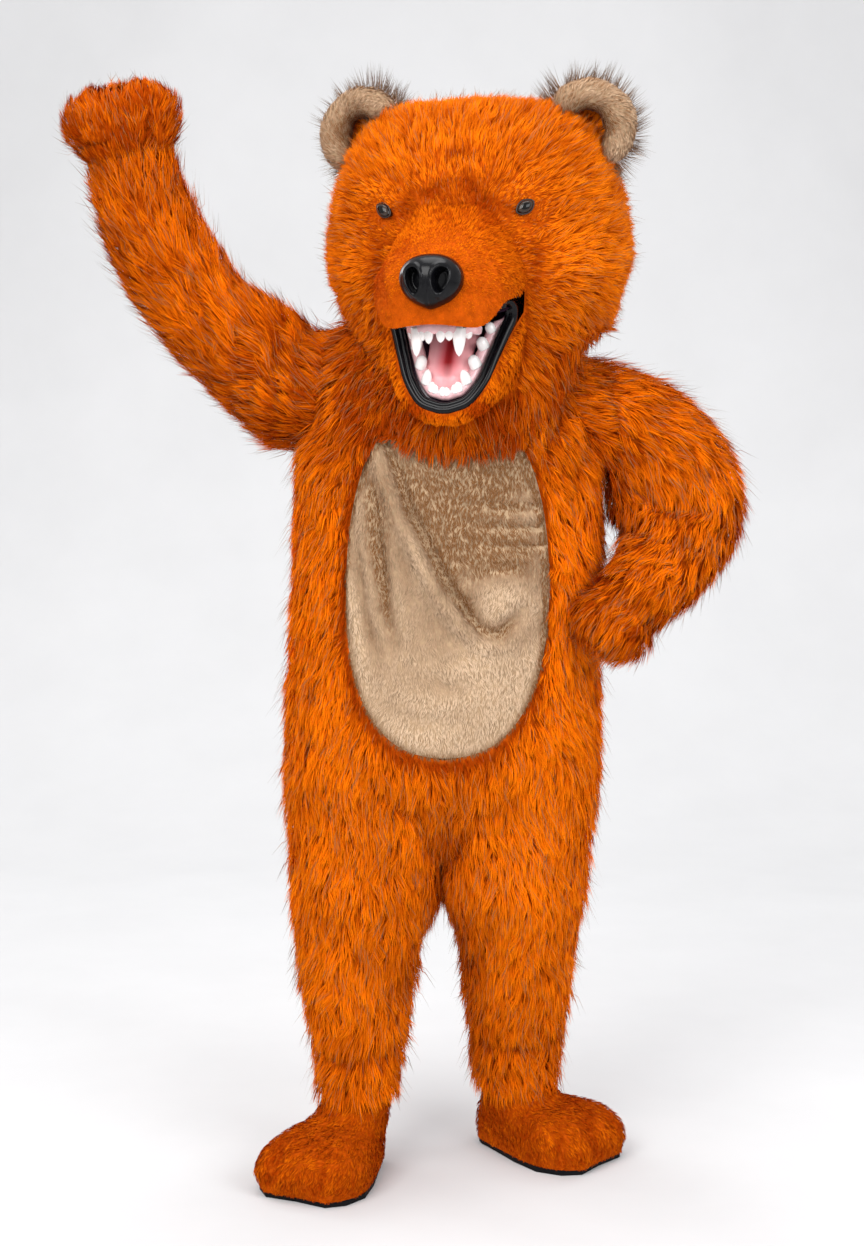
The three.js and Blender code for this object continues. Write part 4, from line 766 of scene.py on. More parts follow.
SUIT_FOLDS = [
    fold(10, (-178, -34, 4), (-140, -76, 12), (-106, -122, 4)),
    fold(11, (-214, 40, 6), (-204, -40, 12), (-206, -110, 5)),
    fold(12, (205, 10, 4), (186, -70, 10), (150, -150, 4)),
    fold(12, (222, -120, 3), (204, -190, 8), (212, -260, 3)),
    fold(13, (-236, -200, 3), (-206, -260, 7), (-196, -330, 3)),
    fold(13, (-120, -690, 3), (-40, -760, 8), (-10, -860, 9), (-6, -900, 4)),
    fold(13, (110, -700, 3), (40, -770, 7), (12, -850, 8)),
    fold(12, (-250, -1190, 3), (-160, -1204, 8), (-90, -1186, 3)),
    fold(12, (60, -1196, 3), (130, -1210, 8), (214, -1190, 3)),
    fold(14, (-200, 20, 3), (-120, -60, 8), (-40, -80, 3), back=True),
    fold(14, (200, -10, 3), (130, -80, 8), (60, -90, 3), back=True),
    fold(15, (-230, -250, 3), (-150, -300, 8), (-70, -290, 3), back=True),
    fold(15, (230, -270, 3), (160, -330, 7), (60, -320, 3), back=True),
    fold(14, (-150, -660, 3), (-40, -760, 8), (-6, -860, 6), back=True),
    fold(14, (160, -670, 3), (50, -770, 8), (8, -860, 6), back=True),
    fold(12, (-240, -1150, 3), (-160, -1180, 8), (-90, -1160, 3), back=True),
    fold(12, (70, -1150, 3), (130, -1176, 8), (210, -1150, 3), back=True),
]
LEFT_ARM_FOLDS = [
    fold(9, (-346, 62, 4), (-342, 0, 12), (-338, -96, 6)),
    fold(8, (-316, 40, 4), (-312, -30, 9), (-312, -104, 4)),
    fold(9, (-282, 60, 4), (-276, -30, 13), (-276, -116, 6)),
    fold(8, (-250, 40, 4), (-248, -40, 8), (-246, -120, 3)),
    fold(9, (-566, 366, 4), (-536, 342, 10), (-498, 350, 5)),
    fold(10, (-430, 150, 3), (-400, 96, 7), (-384, 30, 3)),
    fold(10, (-340, 50, 4), (-330, -20, 10), (-326, -90, 4), back=True),
    fold(10, (-280, 40, 4), (-272, -50, 10), (-270, -110, 4), back=True),
    fold(10, (-470, 260, 3), (-440, 200, 7), (-430, 140, 3), back=True),
]
RIGHT_ARM_FOLDS = [
    fold(11, (262, 0, 4), (280, -80, 10), (300, -150, 4)),
    fold(11, (330, -190, 4), (380, -236, 10), (450, -230, 3)),
    fold(11, (316, -262, 4), (372, -286, 8), (440, -300, 3)),
    fold(10, (300, -366, 3), (340, -350, 8), (384, -318, 3)),
    fold(11, (280, -20, 4), (300, -100, 10), (330, -160, 4), back=True),
    fold(11, (340, -200, 4), (400, -230, 9), (460, -220, 3), back=True),
]
FIST_FOLDS = [
    fold(7, (-618, 378, 4), (-600, 368, 11), (-574, 374, 4)),
    fold(8, (-503, 350, 3), (-496, 392, 11), (-502, 452, 4)),
    fold(9, (-552, 344, 4), (-538, 346, 9), (-520, 346, 4)),
    fold(8, (-590, 440, 2), (-584, 470, 6), (-584, 500, 2)),
    fold(8, (-548, 440, 2), (-544, 474, 6), (-544, 505, 2)),
    fold(10, (-600, 420, 3), (-560, 400, 8), (-510, 404, 3), back=True),
]
FOOT_FOLDS = [
    fold(9, (-262, -1296, 3), (-284, -1340, 9), (-306, -1400, 8)),
    fold(9, (-200, -1330, 3), (-212, -1370, 9), (-222, -1424, 8)),
    fold(12, (-240, -1246, 3), (-180, -1262, 7), (-110, -1250, 3)),
    fold(9, (246, -1320, 3), (262, -1360, 9), (282, -1410, 8)),
    fold(9, (202, -1340, 3), (202, -1380, 8), (200, -1424, 7)),
    fold(12, (70, -1262, 3), (140, -1280, 7), (200, -1270, 3)),
]
FACE_FOLDS = [
    fold(9, (-84, 246, 3), (-47, 268, 10), (-18, 286, 9), (8, 298, 4)),
    fold(9, (27, 308, 4), (42, 286, 9), (55, 264, 9), (76, 246, 3)),
    fold(8, (-2, 338, 3), (26, 341, 8), (58, 338, 3)),
    fold(8, (-89, 223, 3), (-105, 187, 7), (-110, 142, 8), (-102, 101, 3)),
    fold(8, (141, 203, 3), (143, 153, 7), (135, 110, 3)),
    fold(13, (-134, 294, -3), (-102, 284, -9), (-70, 266, -4), lip=0),
    fold(13, (168, 300, -3), (126, 289, -9), (84, 266, -4), lip=0),
]
BELLY_FOLDS = [
    fold(11, (-104, -112, 5), (-84, -168, 13), (-58, -243, 18), (-27, -305, 20), (9, -370, 21),
         (44, -420, 18), (65, -441, 4), roll=1.0, lip=0),
    fold(13, (-128, -194, 3), (-120, -282, 9), (-104, -394, 9), (-90, -470, 2), lip=0.7),
    fold(12, (-152, -250, 3), (-146, -340, 8), (-130, -440, 7), (-112, -500, 1), lip=0.7),
    fold(10, (-40, -150, 1), (20, -166, 5), (60, -176, 1)),
    fold(8, (18, -222, 1), (90, -232, 5), (174, -230, 4)),
    fold(7, (36, -256, 1), (110, -268, 4), (178, -262, 4)),
    fold(8, (52, -288, 1), (120, -300, 5), (180, -292, 4)),
    fold(10, (48, -348, 2), (100, -332, 5), (150, -346, 1)),
    fold(12, (60, -440, 5), (92, -444, 12), (128, -404, 5)),
    fold(26, (76, -372, -8), (96, -388, -12), (112, -384, -6), lip=0),
    fold(15, (-60, -520, 1), (0, -540, 5), (70, -530, 1)),
    fold(15, (-120, -560, 1), (-40, -600, 4), (30, -590, 1)),
]
# Patches of painted shade on the pile, and of painted light where the amount is under 0: x, z,
# reach across and up, by how much.
SUIT_PAINTED_SHADING = [
    (-150, -60, 90, 110, 0.42), (180, -60, 90, 120, 0.2), (20, -140, 220, 60, 0.2),
    (-6, -840, 60, 130, 0.24), (0, -700, 150, 60, 0.1), (-170, -1210, 130, 50, 0.2),
    (140, -1210, 130, 50, 0.2), (150, -900, 70, 200, -0.20), (-200, -700, 60, 240, -0.12),
    (200, -620, 60, 260, -0.10), (-215, -330, 50, 160, -0.1), (215, -380, 60, 170, -0.20),
    (185, -260, 40, 120, -0.10), (-80, -1080, 30, 160, 0.16), (60, -1080, 30, 160, 0.16),
    (-150, -950, 60, 60, 0.08), (140, -1040, 70, 40, 0.08),
]
# Painted shade and light on the sleeves and mitts; the last four are stripes of painted shade along
# the left sleeve's pleats by the armpit.
ARM_PAINTED_SHADING = [
    (-300, -10, 110, 90, 0.14), (-430, 140, 60, 60, 0.06), (-500, 330, 80, 40, 0.12),
    (-585, 400, 60, 40, 0.08), (-560, 460, 80, 30, 0.06), (300, -40, 80, 90, 0.10),
    (450, -180, 80, 60, -0.16), (340, -220, 60, 40, 0.1), (400, -330, 90, 40, -0.12),
    (280, -420, 60, 50, 0.1), (-330, 26, 9, 63, 0.34), (-281, 14, 9, 85, 0.42),
    (-234, -7, 9, 96, 0.46), (-198, -22, 9, 91, 0.42),
]
# Painted shade and light on the head: shade in the brow's furrows and the face's creases, light on
# the cheeks.
HEAD_PAINTED_SHADING = [
    (-68, 256, 26, 12, 0.66), (-32, 278, 28, 12, 0.62), (36, 292, 17, 18, 0.58),
    (62, 262, 22, 14, 0.66), (-88, 252, 15, 12, 0.42), (106, 252, 14, 12, 0.40),
    (-150, 160, 30, 50, -0.20), (215, 170, 46, 70, -0.34), (-30, -10, 200, 40, 0.10),
    (-112, 240, 22, 9, 0.24), (136, 242, 22, 9, 0.2), (26, 338, 44, 9, 0.30),
    (-106, 160, 14, 60, 0.44), (141, 155, 14, 54, 0.38), (-190, 60, 60, 70, 0.26),
    (230, 30, 80, 60, 0.26), (40, 400, 160, 40, 0.07), (-20, 60, 240, 40, 0.06),
    (240, 150, 16, 12, 0.4), (70, 230, 26, 40, 0.14), (-40, 230, 26, 30, -0.08),
]
# Painted shade and light on the belly: shade at its top and along the dark side of its main fold,
# light on the fold's rolled lip and lower down.
BELLY_PAINTED_SHADING = [
    (50, -170, 120, 110, 0.95), (80, -300, 80, 56, 0.75), (110, -440, 60, 30, 0.40),
    (-100, -280, 60, 150, 0.34), (-62, -200, 17, 44, 0.34), (-34, -262, 17, 44, 0.36),
    (2, -334, 18, 44, 0.36), (36, -396, 20, 36, 0.36),
    (-112, -300, 30, 130, 0.26), (-50, -440, 60, 50, 0.16), (-6, -330, 26, 80, 0.22),
    (20, -610, 170, 90, -0.22), (150, -520, 50, 120, -0.16), (-80, -220, 16, 90, -0.24),
    (-44, -300, 16, 60, -0.2), (110, -244, 60, 10, -0.24), (-150, -420, 24, 120, -0.2),
    (60, -500, 60, 26, -0.16), (84, -390, 24, 26, -0.16), (110, -210, 60, 8, -0.14),
]


def past(co, spot, low, high):
    """0 within low mm of a spot in the head's frame, 1 past high mm."""
    return smoothstep(np.linalg.norm(head_local(co) - spot, axis=1), low, high)


def head_size(co):
    """Pile length on the head as a share: short by the muzzle and eyes, full on the cheeks."""
    size = 0.40 + 0.60 * past(co, (0, -300, 1575), 130, 300)
    for side in (LEFT, RIGHT):
        size *= 0.25 + 0.75 * past(co, (side * 120, -182, 1691), 16, 66)
    return size


MUZZLE_RISE = {"by": 42, "back": (-341, -284), "up": (1505, 1620)}


def muzzle_lift(local):
    """How far the muzzle's lower edge rises to the corners of the mouth, in mm."""
    rise = smoothstep(local[..., 1], *MUZZLE_RISE["back"])
    return MUZZLE_RISE["by"] * rise * (1 - smoothstep(local[..., 2], *MUZZLE_RISE["up"]))


def muzzle_size(co):
    """Pile length on the muzzle as a share: shortest round the nose, longer towards the head."""
    local = head_local(co)
    low = 1 - smoothstep(local[:, 2] - muzzle_lift(local) / 2, 1515, 1570)
    return (0.8 + 1.5 * past(co, (0, -330, 1560), 75, 150)) * (1 - 0.65 * low)


def mane_size(co):
    """Pile length on the mane as a share: it leaves the top left corner of the patch bare."""
    return 1 - 0.6 * patch_share(co, -98, -118, 42, 50)


def hand_size(co):
    """Pile length on the mitts as a share: the hand on the hip is as shaggy as its sleeve."""
    return np.where(co[:, 0] > 0, 1.4, 1.0)


def foot_size(co):
    """Pile length on the feet as a share: shortest by the soles, which show under it."""
    return 0.3 + 0.7 * smoothstep(co[:, 2] / MM + SHOULDER_H, 10, 46)


def suit_size(co):
    """Pile length on the fronts as a share: shorter along the belly's seam, so that it shows."""
    return 1 - SEAM_CROP * seam_share(co, SEAM_CROP_WIDE) * (co[:, 1] < 0)


# A wall in mm, its subdivisions, the flat cut in m and how it is held; and its pile: blades a
# m2, and how long and wide a blade is in mm.
Piece = namedtuple("Piece", "wall levels flat held density long wide")
PIECES = {
    "front": Piece(3, 2, (0.46, 1.32), "hung", 118e3, 50, 1.5),
    "back": Piece(3, 2, (0.50, 1.40), "hung", 54e3, 46, 2.6),
    "sleeve": Piece(3, 2, (0.60, 0.62), "hung", 112e3, 50, 1.5),
    "paw_back": Piece(3, 2, (0.22, 0.21), "hung", 150e3, 32, 1.5),
    "paw_palm": Piece(3, 2, (0.22, 0.21), "hung", 130e3, 32, 1.5),
    "foot": Piece(3, 2, (0.52, 0.40), "stretched", 150e3, 15, 1.2),
    "head": Piece(5, 2, (0.50, 0.62), "stretched", 152e3, 38, 1.1),
    "gusset": Piece(5, 2, (0.20, 1.05), "stretched", 152e3, 34, 1.1),
    "muzzle": Piece(5, 2, (0.46, 0.26), "stretched", 230e3, 7, 0.9),
    "chin": Piece(4, 2, (0.26, 0.25), "stretched", 170e3, 14, 1.5),
    "mane_front": Piece(3, 2, (0.56, 0.20), "hung", 130e3, 46, 1.5),
    "mane_back": Piece(3, 2, (0.56, 0.20), "hung", 50e3, 44, 2.5),
    "belly": Piece(3, 3, (0.42, 0.70), "hung", 190e3, 11, 1.0),
}
DEEP_FOLD = 14  # mm, the depth of fold at which the shade painted in it is full
# How much painted shade darkens the pile at the bottom of a full fold; on a fold's lips painted
# light lightens it by up to 0.35 of that.
FOLD_SHADE = 0.62
FOLD_CROP = 0.6  # share of its length that the pile loses in such a fold
EDGE_STEPS = 2  # rings of points over which folds fade out at a seam


def cloth(node, kind, lay, seed, folds=(), painted_shading=(), material="long_fur", slot="long_fur",
          backing="fur_backing", lifted=None, scale=None, flat=None, **more):
    """A cloth node's piece: its shell, smoothed and folded, and its pile. lifted gives how far
    each point of the shell rises, in mm."""
    spec = PIECES[kind]
    skin = subdivided(outer_skin(node, spec.wall), spec.levels)
    if lifted:
        co = points_of(skin.data)
        co[:, 2] += lifted(head_local(co)) * MM
        move_points(skin.data, co)
    dips = np.zeros(len(skin.data.vertices))
    if folds:
        co, normals = points_of(skin.data), normals_of(skin.data)
        dips = relief(co, normals, folds) * border_share(skin.data)
        move_points(skin.data, co + (dips * MM)[:, None] * normals)
    settle(skin, backing, node)

    # Painted shade in the folds' troughs and painted light on their lips, with the painted shading
    # patches.
    def shade(p):
        return np.clip(-dips / DEEP_FOLD, -0.35, 1) * FOLD_SHADE + painted_darkening(p, painted_shading)

    def size(p):
        share = 1 - FOLD_CROP * np.clip(-dips / DEEP_FOLD, 0, 1)
        return share * scale(p) if scale else share

    pile = grow(node, skin, lay, material, slot, spec.density, spec.long, spec.wide,
                seed=seed, scale=size, shade=shade, **more)
    area_of(skin.data)


def border_share(mesh):
    """0 on a sheet's edge, rising to 1 a few points in, so that folds leave its seams alone."""
    bm = bmesh.new()
    bm.from_mesh(mesh)
    bm.verts.ensure_lookup_table()
    share = np.ones(len(bm.verts))
    ring = {v for v in bm.verts if v.is_boundary}
    done = set(ring)
    for step in range(EDGE_STEPS + 1):
        for vert in ring:
            share[vert.index] = step / (EDGE_STEPS + 1)
        ring = {e.other_vert(v) for v in ring for e in v.link_edges} - done
        done |= ring
    bm.free()
    return share


ARM_FOLDS = {"left": LEFT_ARM_FOLDS, "right": RIGHT_ARM_FOLDS}
HAND_TONE = {"left": 0.15, "right": 0.36}
HAND_FLAT = {"left": (0.22, 0.21), "right": (0.16, 0.15)}  # the one on the hip shows its fist alone


def dress():
    short = dict(material="short_fur", slot="short_fur", guard=0)
    face = dict(folds=FACE_FOLDS, painted_shading=HEAD_PAINTED_SHADING, scale=head_size, material="head_fur",
                guard=0.05, tone=(0.42, 0.20), rise=46, lean=19)
    for i, side in enumerate(SIDES):
        arm = lay_arm(side)
        sleeve = dict(painted_shading=ARM_PAINTED_SHADING, tone=(0.42, 0.26), guard=0.07)
        fist = dict(sleeve, tone=(HAND_TONE[side], 0.26), scale=hand_size, flat=HAND_FLAT[side])
        cloth(f"front_{side}", "front", lay_suit, 11 + i, SUIT_FOLDS, SUIT_PAINTED_SHADING,
              scale=suit_size, tone=(0.63, 0.20))
        cloth(f"back_{side}", "back", lay_suit, 21 + i, SUIT_FOLDS, SUIT_PAINTED_SHADING)
        cloth(f"sleeve_{side}", "sleeve", arm, 31 + i, ARM_FOLDS[side], **sleeve)
        cloth(f"paw_{side}_back", "paw_back", arm, 41 + i, FIST_FOLDS, **fist)
        cloth(f"paw_{side}_palm", "paw_palm", arm, 51 + i, FIST_FOLDS, **fist)
        cloth(f"foot_{side}_upper", "foot", lay_foot, 61 + i, FOOT_FOLDS, SUIT_PAINTED_SHADING,
              scale=foot_size, rise=28, lean=8, pull=0.4, tone=(0.18, 0.14), **short)
        cloth(f"head_{side}", "head", lay_head, 71 + i, **face)
    cloth("head_gusset", "gusset", lay_head, 81, **face)
    cloth("muzzle", "muzzle", lay_head, 82, FACE_FOLDS, HEAD_PAINTED_SHADING, lifted=muzzle_lift,
          scale=muzzle_size, rise=28, lean=10, pull=0.4, lock=8, swirl=10, tone=(0.33, 0.13),
          **short)
    cloth("chin", "chin", lay_head, 83, rise=34, tone=(0.44, 0.12), **short)
    cloth("mane_front", "mane_front", lay_mane, 84, painted_shading=SUIT_PAINTED_SHADING, scale=mane_size,
          tone=(0.30, 0.2))
    cloth("mane_back", "mane_back", lay_mane, 85)
    cloth("belly_patch", "belly", lay_down, 86, BELLY_FOLDS, BELLY_PAINTED_SHADING, material="tan_plush",
          slot="tan_plush", backing="tan_backing", rise=18, lean=5, pull=0.3, lock=5, swirl=16,
          guard=0, tone=(0.62, 0.035), grain=0.04)


# ---------------------------------------------------------------- nose, mouth, eyes and ears


def curve(points, count):
    """Evenly spaced points on a Catmull-Rom curve through some points."""
    points = np.asarray(points, float)
    ghost = np.vstack([2 * points[0] - points[1], points, 2 * points[-1] - points[-2]])
    t = np.linspace(0, len(points) - 1 - 1e-9, 40 * len(points))
    i = t.astype(int)
    f = (t - i)[:, None]
    a, b, c, d = (ghost[i + k] for k in range(4))
    p = 2 * b + (c - a) * f + (2 * a - 5 * b + 4 * c - d) * f**2 + (3 * b - a - 3 * c + d) * f**3
    p *= 0.5
    run = np.concatenate([[0], np.cumsum(np.linalg.norm(np.diff(p[:, :3], axis=0), axis=1))])
    at = np.linspace(0, run[-1], count)
    return np.stack([np.interp(at, run, p[:, k]) for k in range(p.shape[1])], axis=1)


def skin_of(rings, first=True, last=True):
    """Points and faces of a skin through closed rings, its ends closed by fans."""
    rings = np.asarray(rings, float)
    count, columns = rings.shape[:2]
    points = list(rings.reshape(-1, 3))
    faces = grid_faces(count, columns, around=True)
    for closed, ring in ((first, 0), (last, count - 1)):
        if closed:
            centre = len(points)
            points.append(rings[ring].mean(0))
            faces += [(centre, ring * columns + j, ring * columns + (j + 1) % columns)
                      for j in range(columns)]
    return points, faces


def joined(name, shapes, material, node=None, place=head_at):
    """One piece of several skins, each closed or open, facing out."""
    points, faces = [], []
    for some, quads in shapes:
        faces += [tuple(k + len(points) for k in quad) for quad in quads]
        points += list(some)
    piece = mesh_object(name, place(points), faces)
    bm = bmesh.new()
    bm.from_mesh(piece.data)
    bmesh.ops.recalc_face_normals(bm, faces=bm.faces)
    bm.to_mesh(piece.data)
    bm.free()
    piece.data.shade_smooth()
    settle(piece, material, node)
    return piece


NOSE = {"y": -346, "h": 1565, "half": 52, "tall": 42, "deep": 42, "power": 2.25, "pinch": 0.10,
        "rings": 48, "columns": 96, "turn": 128, "dip": 4, "dip_half": 13, "groove": 2.2,
        "groove_half": 2.0}
NOSTRIL = {"x": 22, "up": -1, "half": 12.5, "tall": 22, "tilt": 0.12, "flare": 0.22, "deep": 26,
           "rim": 2.4}


def nose():
    """A moulded nose: a rounded block, narrower below, with two nostrils sunk into its front."""
    n, hole = NOSE, NOSTRIL
    polar = np.linspace(0.01, 1, n["rings"])[:, None] * math.radians(n["turn"])
    spin = circle(n["columns"])[None, :]
    way = vectors(np.sin(polar) * np.cos(spin), -np.cos(polar), np.sin(polar) * np.sin(spin))
    sizes = np.array([n["half"], n["deep"], n["tall"]])
    reach = (np.abs(way / sizes) ** n["power"]).sum(-1) ** (-1 / n["power"])
    p = way * reach[..., None]
    low = smoothstep(-p[..., 2] / n["tall"], -0.2, 1)
    p[..., 0] *= 1 - n["pinch"] * low
    p[..., 2] -= n["dip"] * low**2 * np.exp(-((p[..., 0] / n["dip_half"]) ** 2))
    up = (p[..., 2] - hole["up"]) / hole["tall"]
    middle = hole["x"] + hole["tilt"] * (p[..., 2] - hole["up"])
    half = hole["half"] * (1 + hole["flare"] * np.clip(up, -1, 1))
    off = np.hypot((np.abs(p[..., 0]) - middle) / half, up)
    sink = hole["deep"] * (1 - smoothstep(off, 0.6, 1.0))
    rim = hole["rim"] * np.exp(-(((off - 1.18) / 0.15) ** 2))
    groove = n["groove"] * np.exp(-((p[..., 0] / n["groove_half"]) ** 2))
    groove *= smoothstep(-p[..., 2], 0, 20)
    p[..., 1] += smoothstep(-p[..., 1], 2, 14) * (sink - rim + groove)
    p += (0, n["y"], n["h"])
    joined("nose_moulding", [skin_of(p, last=False)], "black_gloss", "nose")


LIP_SIDE = [  # from the middle of the lower lip round the corner: x, y, h, size
    (0, -267, 1354, 1.0), (16, -266, 1356, 1.0), (46, -262, 1369, 1.0), (71, -250, 1404, 1.0),
    (86, -236, 1446, 1.0), (99, -220, 1484, 1.05), (109, -210, 1512, 1.05), (110, -216, 1531, 0.95),
    (100, -232, 1540, 0.8), (84, -254, 1530, 0.6), (64, -280, 1512, 0.4),
]
LIP_FORM = [  # across the lip, from its outer edge inward: outward, forward
    (0, -10), (0.5, -3), (-2, 1.5), (-6, 3.5), (-10, 2.5), (-12.5, -0.5), (-14, 0.3), (-17, 0.6),
    (-19.5, -3), (-20, -9), (-17, -14), (-8, -16),
]
GUM_FORM = [
    (-22, -14), (-26, -9), (-31, -7), (-37, -8), (-42, -13), (-44, -22), (-37, -28), (-25, -25),
]
MOUTH_MIDDLE = (0, 0, 1462)
LIP_STEPS = 168


def lip_line():
    side = np.array(LIP_SIDE, float)
    other = side[:0:-1] * (-1, 1, 1, 1)
    return curve(np.vstack([other, side]), LIP_STEPS)


def mouth_frame(line):
    """At each point of a line round the mouth: outward from the mouth, and forward."""
    run = unit(np.gradient(line[:, :3], axis=0))
    turned = unit(run[:, ::-1] * (1, 0, -1))
    away = unit((line[:, :3] - MOUTH_MIDDLE) * (1, 0, 1))
    out = unit(turned + 0.8 * away)
    out = unit(out - (out * run).sum(1, keepdims=True) * run)
    ahead = unit(np.cross(run, out))
    return out, ahead * -np.sign(ahead[:, 1:2])


def carried(line, form, size):
    """Rings of a form, in mm outward and forward, carried along a line round the mouth."""
    out, ahead = mouth_frame(line)
    form = np.array(form, float)
    offset = form[None, :, :1] * out[:, None] + form[None, :, 1:] * ahead[:, None]
    return line[:, None, :3] + size[:, None, None] * offset


MUZZLE_EDGE = [  # the moulded upper lip under the muzzle's edge, from the corner: x, y, h, radius
    (110, -216, 1552, 8), (110, -240, 1551, 8), (105, -266, 1547, 7), (96, -289, 1537, 5.5),
    (81, -309, 1515, 4), (64, -324, 1498, 2.8), (48, -332, 1492, 1.4),
]


def lips():
    line = lip_line()
    shapes = [skin_of(carried(line, LIP_FORM, line[:, 3]))]
    spin = circle(12)[:, None]
    for side in (LEFT, RIGHT):
        edge = curve(np.array(MUZZLE_EDGE, float) * (side, 1, 1, 1), 44)
        run = unit(np.gradient(edge[:, :3], axis=0))
        up = unit(np.cross(run, np.array([0, 0, 1.0])))
        rise = np.cross(up, run)
        rings = [p[:3] + p[3] * (np.cos(spin) * u + 1.3 * np.sin(spin) * r)
                 for p, u, r in zip(edge, up, rise)]
        shapes.append(skin_of(rings))
    joined("lips_moulding", shapes, "black_gloss", "lips")


# Where each tooth stands, half its width, how thick and tall it is, and how blunt its end is.
LOWER_TEETH = [  # along the lip
    (0.215, 9, 8, 15, 4.0), (0.262, 10, 9, 18, 4.0), (0.318, 11, 9, 20, 3.5),
    (0.376, 9.5, 8, 23, 2.2), (0.420, 7, 6, 15, 3.0), (0.453, 6.2, 5.4, 13, 3.0),
    (0.484, 5.8, 5.2, 13, 3.0), (0.516, 5.8, 5.2, 12, 3.0), (0.547, 6.2, 5.4, 13, 3.0),
    (0.580, 7, 6, 15, 3.0), (0.624, 9.5, 8, 22, 2.2), (0.682, 11, 9, 20, 3.5),
    (0.738, 10.5, 9, 19, 4.0), (0.785, 9, 8, 16, 4.0),
]
UPPER_TEETH = [  # round the arch
    (0.20, 7.5, 6, 14, 3.5), (0.313, 11.5, 9, 42, 2.1), (0.392, 7, 6, 17, 3.0),
    (0.450, 8, 6, 22, 2.6), (0.520, 8, 6, 20, 3.0), (0.586, 7.5, 6, 17, 3.0),
    (0.687, 11.5, 9, 42, 2.1), (0.80, 7.5, 6, 14, 3.5),
]
UPPER_ARCH = {"half": 62, "back": -246, "front": -318, "h": 1486, "tall": 20, "wide": 15,
              "power": 2.6}
LOWER_GUM = (0.17, 0.83)  # the stretch of the lip that it runs along
LOWER_ROOT = {"in": 33, "back": 11}  # mm from the lip


def tooth(root, way, broad, half, thick, tall, blunt):
    """A tooth that stands on a root: its width narrows to the end, more sharply the less blunt."""
    way, broad = unit(np.asarray(way, float)), unit(np.asarray(broad, float))
    broad = unit(broad - (broad @ way) * way)
    deep = np.cross(way, broad)
    spin = circle(16)[:, None]
    rings = []
    for t in np.linspace(-0.12, 1, 12):
        share = max(1 - max(t, 0) ** blunt, 0.002) ** (0.62 if blunt > 2 else 0.85)
        middle = root + way * tall * t
        rings.append(middle + share * (half * np.cos(spin) * broad + thick * np.sin(spin) * deep))
    return skin_of(rings)


def lower_jaw():
    line = lip_line()
    first, last = (int(share * LIP_STEPS) for share in LOWER_GUM)
    part = line[first:last]
    end = np.sin(np.linspace(0, math.pi, len(part)))
    size = 0.55 + 0.45 * smoothstep(end, 0, 0.12)
    joined("gum_lower", [skin_of(carried(part, GUM_FORM, size))], "gum",
           "gums_teeth_lower")
    out, ahead = mouth_frame(line)
    run = unit(np.gradient(line[:, :3], axis=0))
    shapes = []
    for at, half, thick, tall, blunt in LOWER_TEETH:
        k = int(at * LIP_STEPS)
        root = line[k, :3] - LOWER_ROOT["in"] * out[k] - LOWER_ROOT["back"] * ahead[k]
        way = -0.42 * out[k] + 0.42 * ahead[k] + np.array([0, 0, 0.62])
        shapes.append(tooth(root, way, run[k], half, thick, tall, blunt))
    joined("teeth_lower", shapes, "tooth")


def upper_jaw():
    a = UPPER_ARCH

    def arch(angle, inset):
        """The spot (x, y) at an angle round the arch, so far in from its outer side."""
        c, s = np.cos(angle), np.sin(angle)
        x = (a["half"] - inset) * np.sign(c) * np.abs(c) ** (2 / a["power"])
        y = a["back"] + (a["front"] + inset - a["back"]) * np.abs(s) ** (2 / a["power"])
        return np.array([x, y])

    rings = []
    for angle in np.linspace(0.02, 0.98, 60) * math.pi:
        outer, inner = arch(angle, 0), arch(angle, a["wide"])
        middle, across = (outer + inner) / 2, (outer - inner) / 2
        ring = []
        for spin in circle(14):
            w, v = (np.sign(k) * abs(k) ** 0.7 for k in (math.cos(spin), math.sin(spin)))
            ring.append((*(middle + w * across), a["h"] + 6 + v * a["tall"] / 2))
        rings.append(ring)
    joined("gum_upper", [skin_of(rings)], "gum", "gums_teeth_upper")
    shapes = []
    for at, half, thick, drop, blunt in UPPER_TEETH:
        angle = math.pi * (1 - at)
        root = np.array([*arch(angle, a["wide"] / 2 - 1), a["h"] + 2])
        broad = (*(arch(angle - 0.05, 7) - arch(angle + 0.05, 7)), 0)
        shapes.append(tooth(root, (0, -0.06, -1), broad, half, thick, drop, blunt))
    joined("teeth_upper", shapes, "tooth")


TONGUE = {"half": 40, "thick": 12, "tip": (-243, 1390), "root": (-160, 1502), "groove": 5,
          "groove_half": 4.5, "arch": 13, "narrows": 0.62, "rows": 40, "columns": 40}


def tongue():
    t = TONGUE
    tip, root = np.array([0, *t["tip"]], float), np.array([0, *t["root"]], float)
    slope = unit(tip - root)
    face = np.array([0, slope[2], -slope[1]])
    face *= np.sign(face[2])
    rings, spots = [], []
    for i in range(t["rows"]):
        v = i / (t["rows"] - 1)
        past_wide = max(v - t["narrows"], 0) / 0.385
        broad = t["half"] * math.sqrt(max(1 - past_wide**2, 0.02)) * (1 + 0.05 * math.sin(v * 9))
        middle = root + (tip - root) * v + face * t["arch"] * math.sin(math.pi * v)
        ring = []
        for spin in circle(t["columns"]):
            c, s = math.cos(spin), math.sin(spin)
            x = broad * c
            lift = t["thick"] * abs(s) ** 0.85 * (1 if s > 0 else -1)
            lift *= min(broad / t["half"] + 0.2, 1)
            if s > 0:
                lift -= t["groove"] * math.exp(-((x / t["groove_half"]) ** 2)) * (1 - 0.7 * v)
            ring.append(middle + np.array([x, 0, 0]) + face * lift)
            spots.append((0.5 + 0.5 * c, v))
        rings.append(ring)
    piece = joined("tongue_moulding", [skin_of(rings)], "tongue", "tongue")
    map_points(piece, spots + [(0.1, 0), (0.1, 1)])


def map_points(piece, spots):
    """Gives each point of a mesh its place on the map that the materials read."""
    corner = read(piece.data.loops, "vertex_index", 1, int)[:, 0]
    layer = piece.data.uv_layers.new(name="OFBake")
    layer.data.foreach_set("uv", np.asarray(spots)[corner].ravel())


